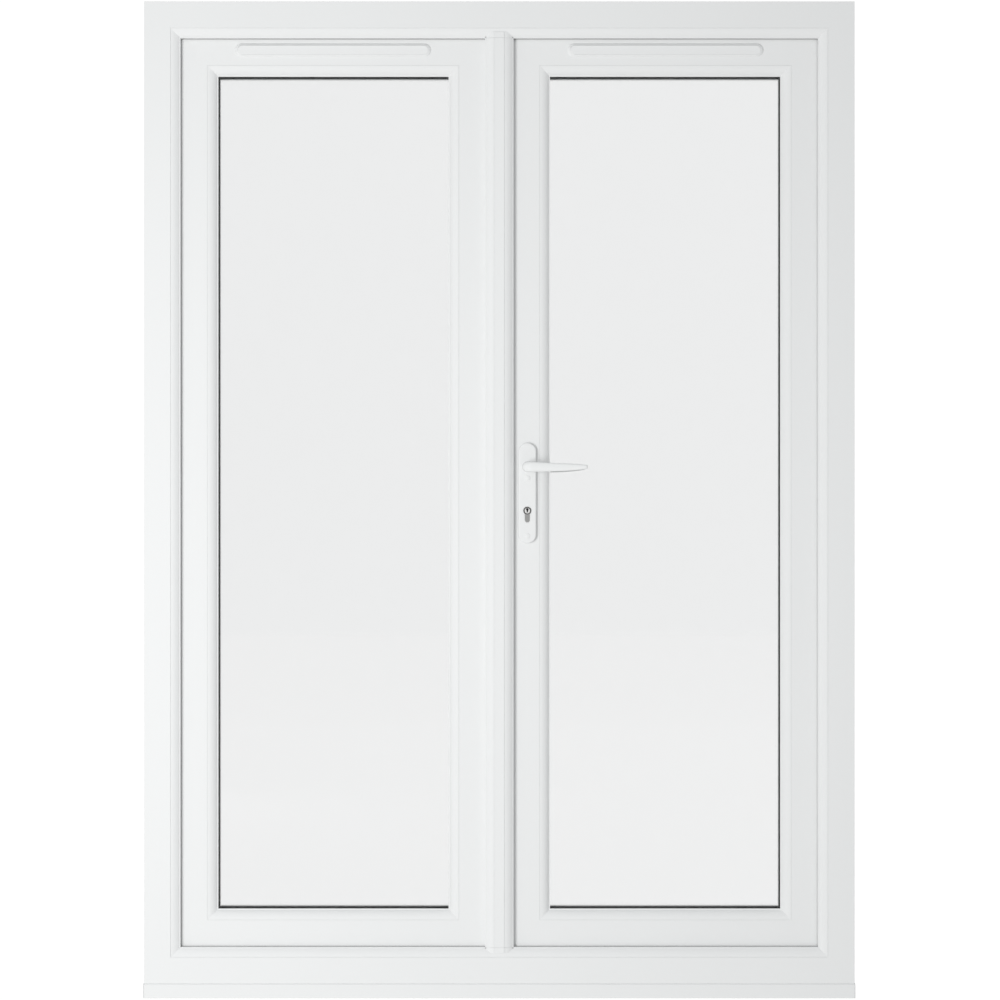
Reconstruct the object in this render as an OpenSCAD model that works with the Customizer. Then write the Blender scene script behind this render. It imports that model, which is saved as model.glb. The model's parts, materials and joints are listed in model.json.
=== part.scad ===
// White plastic french doors: two glazed leaves in one frame on a cill, opening
// outwards, with a mullion that rides on the slave leaf. All sizes are in millimetres.
// X runs along the width, Y from the room to the outside, Z up.
// The origin lies on the middle of the cill's underside, at the middle of the frame's depth.

/* [Overall] */
// Width of the frame over both jambs
set_w = 1490; // [1190:10:1790]
// Height from the underside of the cill to the top of the head
set_h = 2090; // [1740:10:2510]

/* [Frame] */
// Depth of the frame from the room side to the outside
frame_depth = 70; // [68:1:90]
// Width of the hollow body of a frame bar
frame_body_w = 54; // [45:1:65]
// Width by which the room side flange stands past the body
flange_w = 21; // [20:1:26]
// Thickness of the room side flange
flange_t = 20; // [16:1:22]
// Thickness of the walls of the plastic sections
wall = 3; // [2.4:0.1:3.4]
// Radius of the fixing holes through the jambs
fixing_r = 4; // [3:0.5:5]
// Distance of the outermost fixing holes from the top and bottom of the jambs
fixing_end = 150; // [120:10:250]

/* [Sculptured edge] */
// Depth of the small step where the curve starts
quirk = 1.1; // [0.5:0.1:2]
// Width of the convex curve
ovolo_w = 17; // [12:0.5:17]
// Slope at which the curve starts
ovolo_a0 = 10; // [0:1:20]
// Slope at which the curve ends
ovolo_a1 = 55; // [45:1:58]
// Width of the narrow lip beyond the curve
lip_w = 2.5; // [1:0.5:3]

/* [Cill] */
// Height of the cill
cill_h = 30; // [25:1:40]
// Projection of the cill beyond the outside of the frame
cill_nose = 80; // [60:5:120]
// Projection of the cill beyond the room side of the frame
cill_back = 3; // [1:0.5:5]
// Thickness of the caps on the ends of the cill
cill_cap_t = 1.5; // [1:0.5:3]

/* [Leaves] */
// Width of the hollow body of a leaf bar
leaf_body_w = 64; // [58:1:80]
// Gap between the edge of a leaf and what it closes into
leaf_gap = 12; // [11:0.5:15]
// Width by which the outside flange laps past the body
leaf_lap = 18; // [16:1:20]
// Thickness of the outside flange and of the glazing leg
leg_t = 20; // [16:1:22]
// Depth of the glazing rebate
leg_w = 22; // [21:1:28]
// Gap between a leaf and a flange, which a seal fills
seal_gap = 3; // [2:0.5:4]
// Width of the hardware groove in the edge of a leaf
groove_w = 18; // [17:1:20]
// Depth of the hardware groove
groove_d = 11; // [10:1:13]
// Distance of the hardware groove from the room face
groove_in = 16; // [14:1:18]

/* [Glazing] */
// Thickness of one pane
glass_t = 4; // [3:0.5:6]
// Width of the space between the panes
cavity = 20; // [12:1:20]
// Distance by which the panes reach past the sight line
glass_cover = 15; // [12:1:17]
// Thickness of the glazing seals
glaze_seal = 3; // [2:0.5:4]

/* [Mullion] */
// Width of the mullion's room face
mullion_w = 60; // [56:1:70]
// Width of the mullion's hollow body
mullion_body_w = 30; // [26:1:36]
// Length of the fixed end blocks that carry the mullion over the frame
end_block = 11; // [8:1:14]

/* [Locking] */
// Height of the lever spindle above the underside of the cill
lever_z = 1114; // [950:1:1200]
// Distance from the spindle down to the key cylinder
lever_to_key = 92; // [92:1:96]
// Distance from the lock's face to the spindle
backset = 35; // [35:1:45]
// Length of the lever from the spindle to its tip
lever_len = 126; // [100:1:140]
// Length of the handle plates
plate_len = 212; // [205:1:240]
// Width of the handle plates
plate_w = 38; // [34:1:42]
// Distance between the two handle screws
screw_pitch = 122; // [122:1:126]
// Travel of the shootbolts
bolt_throw = 20; // [15:1:22]

/* [Hinges] */
// Length of a hinge
hinge_len = 90; // [70:5:120]
// Radius of a hinge barrel
barrel_r = 8; // [7:0.5:9]
// Radius of a hinge pin
pin_r = 4; // [3:0.5:5]
// Distance of the end hinges from the ends of the leaf
hinge_end = 200; // [150:10:300]

/* [Vents] */
// Length of a vent flap
vent_len = 400; // [300:10:420]
// Height of a vent flap
vent_h = 19; // [16:1:22]
// Height of the air slots through the top rail
slot_h = 12; // [8:1:14]

/* [Hidden] */
$fn = 48;

// Colours
white = [0.94, 0.95, 0.945];
rubber = [0.06, 0.06, 0.065];
zinc = [0.68, 0.70, 0.71];
steel = [0.78, 0.79, 0.80];
nickel = [0.62, 0.61, 0.58];
glass = [0.82, 0.88, 0.87, 0.4];

// Clearances
slide_gap = 0.3;
run_gap = 0.05;
eps = 0.5;

// Sculptured edge
ovolo_r = ovolo_w / (sin(ovolo_a1) - sin(ovolo_a0));
nose_drop = quirk + ovolo_r * (cos(ovolo_a0) - cos(ovolo_a1));
nose_w = ovolo_w + lip_w;
lip_step = 0.5;
lip_v = nose_drop + lip_step;

// Frame
frame_face = frame_body_w + flange_w;
frame_y0 = -frame_depth / 2;
frame_y1 = frame_depth / 2;
frame_h = set_h - cill_h;
rebate_x = set_w / 2 - frame_body_w;
rebate_z0 = cill_h + frame_body_w;
rebate_z1 = set_h - frame_body_w;
flange_z0 = cill_h + frame_face;
flange_z1 = set_h - frame_face;
frame_chamber_v1 = frame_depth - flange_t;
steel_t = 1.5;
steel_end = 90;

// Leaves, in the plane of the doors
leaf_depth = frame_depth - flange_t + leg_t;
leaf_y0 = frame_y0 + flange_t + seal_gap;
leaf_y1 = leaf_y0 + leaf_depth;
leaf_edge_x = rebate_x - leaf_gap;
leaf_z0 = rebate_z0 + leaf_gap;
leaf_z1 = rebate_z1 - leaf_gap;
meet_x = (mullion_body_w + leaf_gap) / 2;
ring_x0 = meet_x - leaf_lap;
ring_x1 = leaf_edge_x + leaf_lap;
ring_z0 = leaf_z0 - leaf_lap;
ring_z1 = leaf_z1 + leaf_lap;
ring_w = ring_x1 - ring_x0;
ring_h = ring_z1 - ring_z0;

// Leaves, across a bar: u runs inwards from the tip of the lap, v outwards from the room face
body_u0 = leaf_lap;
body_u1 = leaf_lap + leaf_body_w;
sight_u = body_u1 + leg_w;
leg_v = leaf_depth - leg_t;
steel_u0 = body_u0 + groove_d + wall;
steel_u1 = body_u1 - wall;
leaf_steel_end = sight_u + 20;

// Glazing
unit_t = 2 * glass_t + cavity;
bead_t = leg_v - 2 * glaze_seal - unit_t;
glass_u = sight_u - glass_cover;
pane_v0 = bead_t + glaze_seal;
bead_lip = 2;
bead_a = 60;
bead_r = (leg_w - bead_lip) / sin(bead_a);
bead_drop = bead_r * (1 - cos(bead_a));
bead_foot = 3.4;

// Seals
seal_w = 4;
seal_t = seal_gap - slide_gap;

// Mullion, which sits on the slave leaf's edge
mullion_x0 = -meet_x;
mullion_x1 = mullion_x0 + mullion_body_w;
mullion_z0 = flange_z0 + 1;
mullion_z1 = flange_z1 - 1;
keep_plate_t = 2.5;

// Hardware in the edge of the master leaf
hw_y = leaf_y0 + groove_in + groove_w / 2;
face_in = 3;
face_x = meet_x + face_in;
faceplate_t = 2.5;
faceplate_w = groove_w - 1;
rail_x0 = face_x + faceplate_t + slide_gap;
rail_t = 2.5;
rail_w = 12.5;
case_x0 = rail_x0 + rail_t + 0.5;
case_behind = 17.5;
case_x1 = face_x + backset + case_behind;
case_w = 16;
case_t = 1.5;
spindle_x = face_x + backset;
key_z = lever_z - lever_to_key;
case_below = 38;
case_above = 35;
case_z0 = key_z - case_below;
case_z1 = lever_z + case_above;
plate_drop = 9;
plate_z = (lever_z + key_z) / 2 - plate_drop;
plate_t = 10;
screw_drop = 29;
screw_zs = [for (s = [-1, 1]) plate_z - screw_drop + s * screw_pitch / 2];
screw_r = 2.5;
latch_down = 26;
latch_z = lever_z - latch_down;
latch_h = 20;
latch_len = 30;
dead_up = 30;
dead_z = key_z + dead_up;
dead_h = 22;
dead_len = 44;
bolt_w = 9;
mid_y = (leaf_y0 + leaf_y1) / 2;
follower_r = 10;
journal_r = 7;
spindle_w = 8;
neck_r = 9;
grip_y = 43;
grip_t = 9;
plug_r = 6.8;
cylinder_r = 8.5;
cylinder_foot_w = 10;
cylinder_drop = 24.5;
cam_w = 8;
cam_r = 13.5;

// Rollers on the drive rail, and the keeps that they lock behind
roller_low = [204, 604];
roller_high = [574, 174];
roller_zs = [for (d = roller_low) leaf_z0 + d, for (d = roller_high) leaf_z1 - d];
roller_x0 = mullion_x1 + 4.5;
roller_r = 5;
rail_short = 64;
rail_z0 = leaf_z0 + rail_short;
rail_z1 = leaf_z1 - rail_short;
rail_travel = 15;

// Shootbolts
bolt_r = 5;
bolt_in = 15;
bolt_back = 3;
bolt_x = mullion_x1 - bolt_in;
bolt_y = hw_y - bolt_back;
bolt_len = 300;
tab_down = bolt_len - 30;
tab_y = 4;
tab_z = 10;
tab_proud = 3.5;
keep_plate_h = 2.5;
cap_h = leaf_gap - keep_plate_h - slide_gap;

// Hinges, on the outside
hinge_out = 9.5;
hinge_proud = 2;
hinge_x = ring_x1 + hinge_out;
hinge_y = leaf_y1 + hinge_proud;
hinge_zs = [leaf_z0 + hinge_end, (leaf_z0 + leaf_z1) / 2, leaf_z1 - hinge_end];
hinge_plate_t = 3.5;

// Vents, in the middle of each top rail
vent_x = (meet_x + leaf_edge_x) / 2;
vent_z = leaf_z1 - leaf_body_w / 2;
vent_proud = 5;
flap_t = 2.5;
vent_slots = [-1, 0, 1];
slot_len = 100;
slot_land = 20;

// ---------------------------------------------------------------- shared shapes

// A bar whose ends are mitred at 45 degrees. The children are its section, with u along X
// and v along Y; the bar runs along Z.
module mitred(len, band, depth) {
    intersection() {
        linear_extrude(height = len) children();
        translate([0, depth, 0]) rotate([90, 0, 0]) linear_extrude(height = depth)
            polygon([[0, 0], [band, band], [band, len - band], [0, len]]);
    }
}

// One side of a rectangle w wide and h high, whose lower left corner is the origin.
module ring_side(side, w, h, band, depth) {
    if (side == "left") mitred(h, band, depth) children();
    if (side == "right") translate([w, 0, 0]) mirror([1, 0, 0]) mitred(h, band, depth) children();
    if (side == "bottom") translate([w, 0, 0]) rotate([0, -90, 0]) mitred(w, band, depth) children();
    if (side == "top") translate([w, 0, h]) mirror([0, 0, 1]) rotate([0, -90, 0])
        mitred(w, band, depth) children();
}

module frame_side(side) {
    translate([-set_w / 2, frame_y0, cill_h])
        ring_side(side, set_w, frame_h, frame_face, frame_depth) children();
}

module leaf_side(side) {
    translate([ring_x0, leaf_y0, ring_z0])
        ring_side(side, ring_w, ring_h, sight_u, leaf_depth) children();
}

// A flat rectangular ring: u0 and u1 are its edges across the bars, v0 and v1 in depth.
module leaf_ring(u0, u1, v0, v1) {
    translate([ring_x0, leaf_y0 + v0, ring_z0]) difference() {
        translate([u0, 0, u0]) cube([ring_w - 2 * u0, v1 - v0, ring_h - 2 * u0]);
        translate([u1, -eps, u1]) cube([ring_w - 2 * u1, v1 - v0 + 2 * eps, ring_h - 2 * u1]);
    }
}

module slave() {
    mirror([1, 0, 0]) children();
}

// The other side of the door: what faces the room, turned to face outside.
module outside() {
    translate([0, 2 * mid_y, 0]) mirror([0, 1, 0]) children();
}

// The convex curve of a sculptured edge. It starts at the end of the flat, a small step
// down, and runs 1 mm into the flat and into the lip behind it.
module curve() {
    intersection() {
        translate([-1, quirk]) square([ovolo_w + 1, lip_v + 1 - quirk]);
        translate([-ovolo_r * sin(ovolo_a0), quirk + ovolo_r * cos(ovolo_a0)])
            circle(r = ovolo_r, $fn = 96);
    }
}

// A box between two corners.
module span(a, b) {
    translate(a) cube(b - a);
}

// A flat oval, len long and h high, centred.
module oval(len, h) {
    square([len - h, h], center = true);
    for (s = [-1, 1]) translate([s * (len - h) / 2, 0]) circle(d = h);
}

// A rod along Y.
module rod_y(x, z, y0, y1, r) {
    translate([x, y1, z]) rotate([90, 0, 0]) cylinder(r = r, h = y1 - y0);
}

// A rod along X.
module rod_x(y, z, x0, x1, r) {
    translate([x0, y, z]) rotate([0, 90, 0]) cylinder(r = r, h = x1 - x0);
}

// ---------------------------------------------------------------- frame

module frame_outline() {
    flat = frame_face - nose_w;
    polygon([[0, 0], [flat, 0], [flat, lip_v], [frame_face, lip_v], [frame_face, flange_t],
        [frame_body_w, flange_t], [frame_body_w, frame_depth], [0, frame_depth]]);
    translate([flat, 0]) curve();
}

module frame_section() {
    inner_w = frame_body_w - 2 * wall;
    difference() {
        frame_outline();
        translate([wall, wall]) square([inner_w, flange_t - 2 * wall]);
        translate([wall, flange_t]) square([inner_w, frame_chamber_v1 - flange_t]);
        translate([wall, frame_chamber_v1 + wall])
            square([inner_w, frame_depth - frame_chamber_v1 - 2 * wall]);
    }
}

function fixing_zs() = [for (i = [0:3])
    cill_h + fixing_end + i * (frame_h - 2 * fixing_end) / 3];

module fixing_holes(side) {
    for (z = fixing_zs())
        rod_x(0, z, side < 0 ? -set_w / 2 - eps : rebate_x - eps,
            side < 0 ? -rebate_x + eps : set_w / 2 + eps, fixing_r);
}

// Holes where the shootbolts enter the head and the threshold.
module shootbolt_holes(r) {
    depth = 22;
    for (z = [rebate_z0 - depth, rebate_z1 - eps])
        translate([bolt_x, bolt_y, z]) cylinder(r = r, h = depth + eps);
}

module frame_jamb_left() {
    color(white) difference() {
        frame_side("left") frame_section();
        fixing_holes(-1);
    }
}

module frame_jamb_right() {
    color(white) difference() {
        frame_side("right") frame_section();
        fixing_holes(1);
    }
}

module frame_head() {
    color(white) difference() {
        frame_side("top") frame_section();
        shootbolt_holes(bolt_r + 1);
    }
}

module frame_threshold() {
    color(white) difference() {
        frame_side("bottom") frame_section();
        shootbolt_holes(bolt_r + 1);
    }
}

// A square cut steel box section that slides into a chamber, between u0 and u1, v0 and v1.
module steel_section(u0, u1, v0, v1) {
    difference() {
        translate([u0 + slide_gap, v0 + slide_gap])
            square([u1 - u0 - 2 * slide_gap, v1 - v0 - 2 * slide_gap]);
        translate([u0 + slide_gap + steel_t, v0 + slide_gap + steel_t])
            square([u1 - u0 - 2 * slide_gap - 2 * steel_t, v1 - v0 - 2 * slide_gap - 2 * steel_t]);
    }
}

module frame_steel() {
    z0 = cill_h + steel_end;
    x0 = -set_w / 2 + steel_end;
    len_z = frame_h - 2 * steel_end;
    len_x = set_w - 2 * steel_end;
    color(zinc) difference() {
        for (s = [0, 1]) mirror([s, 0, 0])
            translate([-set_w / 2, frame_y0, z0]) linear_extrude(height = len_z)
                steel_section(wall, frame_body_w - wall, flange_t, frame_chamber_v1);
        fixing_holes(-1);
        fixing_holes(1);
    }
    color(zinc) difference() {
        for (top = [false, true])
            translate([-x0, frame_y0, top ? set_h : cill_h]) mirror([0, 0, top ? 1 : 0])
                rotate([0, -90, 0]) linear_extrude(height = len_x)
                steel_section(wall, frame_body_w - wall, flange_t, frame_chamber_v1);
        shootbolt_holes(bolt_r + 1.5);
    }
}

module frame_seal() {
    u0 = frame_face - seal_w - lip_w;
    color(rubber) translate([-set_w / 2, frame_y0 + flange_t, cill_h]) difference() {
        translate([u0, 0, u0]) cube([set_w - 2 * u0, seal_t, frame_h - 2 * u0]);
        translate([u0 + seal_w, -eps, u0 + seal_w])
            cube([set_w - 2 * (u0 + seal_w), seal_t + 2 * eps, frame_h - 2 * (u0 + seal_w)]);
    }
}

// ---------------------------------------------------------------- cill

cill_y0 = frame_y0 - cill_back;
cill_y1 = frame_y1 + cill_nose;
cill_tip = cill_h * 0.6;
function cill_slope(y) = cill_h - (cill_h - cill_tip) * (y - frame_y1 - 3) / (cill_nose - 6);

module cill_outline() {
    edge = 2.5;
    polygon([
        [cill_y0, 0], [cill_y1 - edge, 0], [cill_y1, edge], [cill_y1, cill_tip - edge],
        [cill_y1 - 3, cill_tip], [frame_y1 + 3, cill_h], [cill_y0 + edge, cill_h],
        [cill_y0, cill_h - edge]
    ]);
    translate([cill_y0 + edge, cill_h - edge]) circle(r = edge);
}

module cill_section() {
    rib = (cill_y1 - frame_y1) / 2;
    difference() {
        cill_outline();
        translate([cill_y0 + wall, wall]) square([frame_depth / 2 - wall, cill_h - 2 * wall]);
        translate([cill_y0 + frame_depth / 2 + wall, wall])
            square([frame_depth / 2 - wall, cill_h - 2 * wall]);
        for (y = [frame_y1 + 3 + wall, frame_y1 + 3 + wall + rib])
            polygon([[y, wall], [y + rib - 4 * wall, wall],
                [y + rib - 4 * wall, cill_slope(y + rib - 4 * wall) - wall - 0.5],
                [y, cill_slope(y) - wall - 0.5]]);
    }
}

// Turns a section drawn in Y and Z so that it runs along X.
module along_x(x0, x1) {
    translate([x0, 0, 0]) rotate([90, 0, 90]) linear_extrude(height = x1 - x0) children();
}

module cill() {
    color(white) along_x(-set_w / 2, set_w / 2) cill_section();
}

module cill_end_caps() {
    color(white) for (s = [0, 1]) mirror([s, 0, 0])
        along_x(set_w / 2, set_w / 2 + cill_cap_t) cill_outline();
}

// ---------------------------------------------------------------- mullion

module mullion_face() {
    half = mullion_w / 2;
    flat = half - nose_w;
    translate([0, frame_y0]) {
        polygon([[-half, lip_v], [-flat, lip_v], [-flat, 0], [flat, 0], [flat, lip_v],
            [half, lip_v], [half, flange_t], [-half, flange_t]]);
        for (s = [0, 1]) mirror([s, 0]) translate([flat, 0]) curve();
    }
}

module mullion() {
    face_chamber = mullion_w / 2 - nose_w - wall;
    color(white) difference() {
        union() {
            translate([0, 0, mullion_z0]) linear_extrude(height = mullion_z1 - mullion_z0) {
                mullion_face();
                translate([-mullion_w / 2, frame_y0 + flange_t])
                    square([mullion_w / 2 - meet_x, seal_gap]);
            }
            span([mullion_x0, frame_y0 + flange_t, mullion_z0], [mullion_x1, frame_y1, mullion_z1]);
            span([mullion_x0, leaf_y0, leaf_z0], [mullion_x1, frame_y1, leaf_z1]);
        }
        span([mullion_x0 + wall, frame_y0 + flange_t + wall, leaf_z0 - eps],
            [mullion_x1 - wall, frame_y1 - wall, leaf_z1 + eps]);
        span([-face_chamber, frame_y0 + wall, mullion_z0 - eps],
            [face_chamber, frame_y0 + flange_t - wall, mullion_z1 + eps]);
        // window for the dead bolt
        span([mullion_x1 - wall - eps, hw_y - bolt_w / 2 - 1, dead_z - dead_h / 2 - 1],
            [mullion_x1 + eps, hw_y + bolt_w / 2 + 1, dead_z + dead_h / 2 + 1]);
        // slots for the finger tabs of the shootbolts
        for (z = [leaf_z1 - tab_down, leaf_z0 + tab_down])
            span([mullion_x1 - wall - eps, bolt_y - tab_y - 1, z - bolt_throw - tab_z - 3],
                [mullion_x1 + eps, bolt_y + tab_y + 1, z + bolt_throw + tab_z + 3]);
    }
}

module mullion_end_caps() {
    color(white) for (z = [leaf_z0 - cap_h, leaf_z1]) difference() {
        span([mullion_x0, leaf_y0, z], [mullion_x1, frame_y1, z + cap_h]);
        translate([bolt_x, bolt_y, z - eps]) cylinder(r = bolt_r + slide_gap, h = cap_h + 2 * eps);
    }
}

// Short fixed lengths that carry the mullion's face over the sculptured edge of the frame.
module mullion_end_blocks() {
    z_in = 0.02;
    color(white) for (top = [0, 1]) difference() {
        translate([0, 0, top == 1 ? flange_z1 + z_in : flange_z0 - end_block])
            linear_extrude(height = end_block - z_in) intersection() {
            mullion_face();
            translate([-mullion_w / 2, frame_y0]) square([mullion_w, nose_drop - 0.6]);
        }
        translate([mullion_w, frame_y0, top == 1 ? set_h : cill_h]) mirror([0, 0, top])
            rotate([0, -90, 0]) linear_extrude(height = 2 * mullion_w) frame_outline();
    }
}

// Keeps on the mullion: one behind each roller, and one for the latch and dead bolt.
module mullion_keeps() {
    lip_y = hw_y + roller_r + 0.5;
    keep_y = 9;
    keep_z = [8, 32];
    over = 12;
    z0 = dead_z - dead_h / 2 - over;
    z1 = latch_z + latch_h / 2 + over;
    color(steel) {
        for (z = roller_zs) {
            span([mullion_x1, hw_y - keep_y, z + keep_z[0]],
                [mullion_x1 + keep_plate_t, lip_y, z + keep_z[1]]);
            span([mullion_x1, lip_y, z + keep_z[0]],
                [mullion_x1 + 8, lip_y + 3.5, z + keep_z[1]]);
        }
        difference() {
            union() {
                span([mullion_x1, hw_y - keep_y, z0],
                    [mullion_x1 + keep_plate_t, hw_y + keep_y, z1]);
                span([mullion_x1, hw_y + bolt_w / 2 + 0.5, z0],
                    [mullion_x1 + 2 * keep_plate_t, hw_y + keep_y, z1]);
            }
            for (b = [[dead_z, dead_h], [latch_z, latch_h]])
                span([mullion_x1 - eps, hw_y - bolt_w / 2 - 0.5, b[0] - b[1] / 2 - 0.5],
                    [mullion_x1 + 6, hw_y + bolt_w / 2 + 0.5, b[0] + b[1] / 2 + 0.5]);
        }
    }
}

module shootbolt(top) {
    tip = cap_h - 1.2;
    z0 = top ? leaf_z1 - bolt_len : leaf_z0 - tip;
    z_tab = top ? leaf_z1 - tab_down : leaf_z0 + tab_down;
    color(steel) {
        translate([bolt_x, bolt_y, z0]) cylinder(r = bolt_r, h = bolt_len + tip);
        span([bolt_x, bolt_y - tab_y, z_tab - tab_z],
            [mullion_x1 + tab_proud, bolt_y + tab_y, z_tab + tab_z]);
    }
}

module shootbolt_top() {
    shootbolt(true);
}

module shootbolt_bottom() {
    shootbolt(false);
}

module shootbolt_keeps() {
    color(steel) for (z = [rebate_z0, rebate_z1 - keep_plate_h]) difference() {
        span([bolt_x - 10, bolt_y - 25, z], [bolt_x + 10, bolt_y + 25, z + keep_plate_h]);
        translate([bolt_x, bolt_y, z - eps])
            cylinder(r = bolt_r + 0.6, h = keep_plate_h + 2 * eps);
    }
}

// ---------------------------------------------------------------- leaves

module leaf_section() {
    flat = sight_u - nose_w;
    outer_w = flat - 2 * wall;
    difference() {
        union() {
            polygon([[0, leg_v], [body_u0, leg_v], [body_u0, 0], [body_u1, 0], [body_u1, leg_v],
                [sight_u, leg_v], [sight_u, leaf_depth - lip_v], [flat, leaf_depth - lip_v],
                [flat, leaf_depth], [0, leaf_depth]]);
            translate([flat, leaf_depth]) mirror([0, 1]) curve();
        }
        // room side chamber
        translate([body_u0 + wall, wall])
            square([leaf_body_w - 2 * wall - bead_foot, groove_in - 2 * wall]);
        // hardware groove
        translate([body_u0 - eps, groove_in]) square([groove_d + eps, groove_w]);
        // chamber for the steel
        translate([steel_u0, groove_in]) square([steel_u1 - steel_u0, leg_v - groove_in]);
        // outside chambers
        for (u = [wall, wall + (outer_w + wall) / 2])
            translate([u, leg_v + wall]) square([(outer_w - wall) / 2, leg_t - 2 * wall]);
        // groove for the foot of the bead
        translate([body_u1 - bead_foot, bead_t / 3]) square([bead_foot + eps, bead_foot]);
    }
}

module bead_section() {
    lip = bead_drop + lip_step / 2;
    difference() {
        union() {
            intersection() {
                translate([body_u1, 0]) square([leg_w - bead_lip, bead_drop + 1]);
                translate([body_u1, bead_r]) circle(r = bead_r, $fn = 96);
            }
            polygon([[body_u1, lip], [sight_u, lip], [sight_u, bead_t], [body_u1, bead_t]]);
            translate([body_u1 - bead_foot + slide_gap, bead_t / 3 + 0.1])
                square([bead_foot, bead_foot - 0.2]);
        }
        translate([body_u1 + wall, bead_t - 9]) square([8, 9 - 2]);
    }
}

// Holes for the spindle, the key cylinder and the handle screws, right through the leaf.
module handle_holes() {
    y0 = leaf_y0 - eps;
    y1 = leaf_y1 + eps;
    rod_y(spindle_x, lever_z, y0, y1, neck_r);
    for (z = screw_zs) rod_y(spindle_x, z, y0, y1, screw_r + 1);
    rod_y(spindle_x, key_z, y0, y1, cylinder_r + 0.7);
    span([spindle_x - cylinder_foot_w / 2 - 0.7, y0, key_z - cylinder_drop - 0.7],
        [spindle_x + cylinder_foot_w / 2 + 0.7, y1, key_z]);
}

// Pocket for the lock case, cut in from the floor of the groove.
module lock_pocket(side_gap) {
    span([meet_x + groove_d - eps, hw_y - case_w / 2 - side_gap, case_z0 - 2],
        [case_x1 + 1, hw_y + case_w / 2 + side_gap, case_z1 + 2]);
}

module vent_slots_cut(grow) {
    for (i = vent_slots)
        translate([vent_x + i * (slot_len + slot_land), leaf_y1 + eps, vent_z]) rotate([90, 0, 0])
            linear_extrude(height = leaf_depth + 2 * eps)
            oval(slot_len + 2 * grow, slot_h + 2 * grow);
}

module hinge_stile() {
    color(white) leaf_side("right") leaf_section();
}

module top_rail() {
    color(white) difference() {
        leaf_side("top") leaf_section();
        vent_slots_cut(0);
    }
}

module bottom_rail() {
    color(white) leaf_side("bottom") leaf_section();
}

// Four square cut box sections, one in each bar of a leaf.
module leaf_steel() {
    for (s = [0, 1])
        translate([s == 0 ? ring_x0 : ring_x1, leaf_y0, ring_z0 + leaf_steel_end])
            mirror([s, 0, 0]) linear_extrude(height = ring_h - 2 * leaf_steel_end)
            steel_section(steel_u0, steel_u1, groove_in, leg_v);
    for (s = [0, 1])
        translate([ring_x1 - leaf_steel_end, leaf_y0, s == 0 ? ring_z0 : ring_z1])
            mirror([0, 0, s]) rotate([0, -90, 0])
            linear_extrude(height = ring_w - 2 * leaf_steel_end)
            steel_section(steel_u0, steel_u1, groove_in, leg_v);
}

module leaf_packers() {
    x0 = ring_x0 + body_u1;
    x1 = ring_x1 - body_u1;
    z0 = ring_z0 + body_u1;
    z1 = ring_z1 - body_u1;
    y0 = leaf_y0 + pane_v0;
    y1 = y0 + unit_t;
    t = leg_w - glass_cover;
    len = 100;
    in = 60;
    color(rubber) {
        for (x = [x0 + in, x1 - in - len], z = [z0, z1 - t])
            span([x, y0, z], [x + len, y1, z + t]);
        for (x = [x0, x1 - t], z = [z0 + in, z1 - in - len])
            span([x, y0, z], [x + t, y1, z + len]);
    }
}

// Four mitred beads that hold the glass from the room side.
module leaf_beads() {
    for (side = ["left", "right", "bottom", "top"]) leaf_side(side) bead_section();
}

module leaf_panes() {
    u = glass_u;
    for (v = [pane_v0, pane_v0 + glass_t + cavity])
        span([ring_x0 + u, leaf_y0 + v, ring_z0 + u],
            [ring_x1 - u, leaf_y0 + v + glass_t, ring_z1 - u]);
}

module leaf_spacer() {
    leaf_ring(glass_u + 1, sight_u, pane_v0 + glass_t, pane_v0 + glass_t + cavity);
}

// The glazing seals on both faces of the glass, and the seal on the lap of the leaf.
module leaf_seals() {
    u0 = sight_u - 6;
    u1 = sight_u - 0.2;
    leaf_ring(u0, u1, bead_t, pane_v0);
    leaf_ring(u0, u1, pane_v0 + unit_t, leg_v);
    leaf_ring(1, 1 + seal_w, leg_v - seal_t, leg_v);
}

// ---------------------------------------------------------------- hinges

// The pin of each hinge runs up through a lower knuckle on the frame and an upper one on
// the leaf.
module hinge_frame_plate(z) {
    frame_leaf = 32;
    difference() {
        union() {
            span([hinge_x - 3.5, frame_y1, z - hinge_len / 2],
                [hinge_x + frame_leaf, frame_y1 + hinge_plate_t, z + hinge_len / 2]);
            span([hinge_x - 5.5, frame_y1, z - hinge_len / 2],
                [hinge_x + barrel_r - 1, hinge_y, z - slide_gap / 2]);
            translate([hinge_x, hinge_y, z - hinge_len / 2])
                cylinder(r = barrel_r, h = (hinge_len - slide_gap) / 2);
        }
        translate([hinge_x, hinge_y, z - hinge_len])
            cylinder(r = pin_r + run_gap, h = 2 * hinge_len);
    }
}

module hinge_leaf_plate(z) {
    door_leaf = 52;
    difference() {
        union() {
            span([hinge_x - door_leaf, leaf_y1, z - hinge_len / 2],
                [ring_x1 - 0.5, leaf_y1 + hinge_plate_t, z + hinge_len / 2]);
            span([ring_x1 - 1, leaf_y1, z + slide_gap / 2],
                [hinge_x, leaf_y1 + hinge_plate_t, z + hinge_len / 2]);
            translate([hinge_x, hinge_y, z + slide_gap / 2])
                cylinder(r = barrel_r, h = (hinge_len - slide_gap) / 2);
        }
        translate([hinge_x, hinge_y, z - hinge_len])
            cylinder(r = pin_r + run_gap, h = 2 * hinge_len);
    }
}

module hinge_frame_plates() {
    color(white) for (s = [0, 1], z = hinge_zs) mirror([s, 0, 0]) hinge_frame_plate(z);
}

module hinge_pins() {
    head_t = 3;
    color(steel) for (s = [0, 1], z = hinge_zs) mirror([s, 0, 0])
        translate([hinge_x, hinge_y, z - hinge_len / 2 - head_t]) {
            cylinder(r = pin_r, h = hinge_len + 2 * head_t);
            cylinder(r = barrel_r - 1.5, h = head_t - slide_gap);
            translate([0, 0, hinge_len + head_t + slide_gap])
                cylinder(r = barrel_r - 1.5, h = head_t - slide_gap);
        }
}

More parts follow.
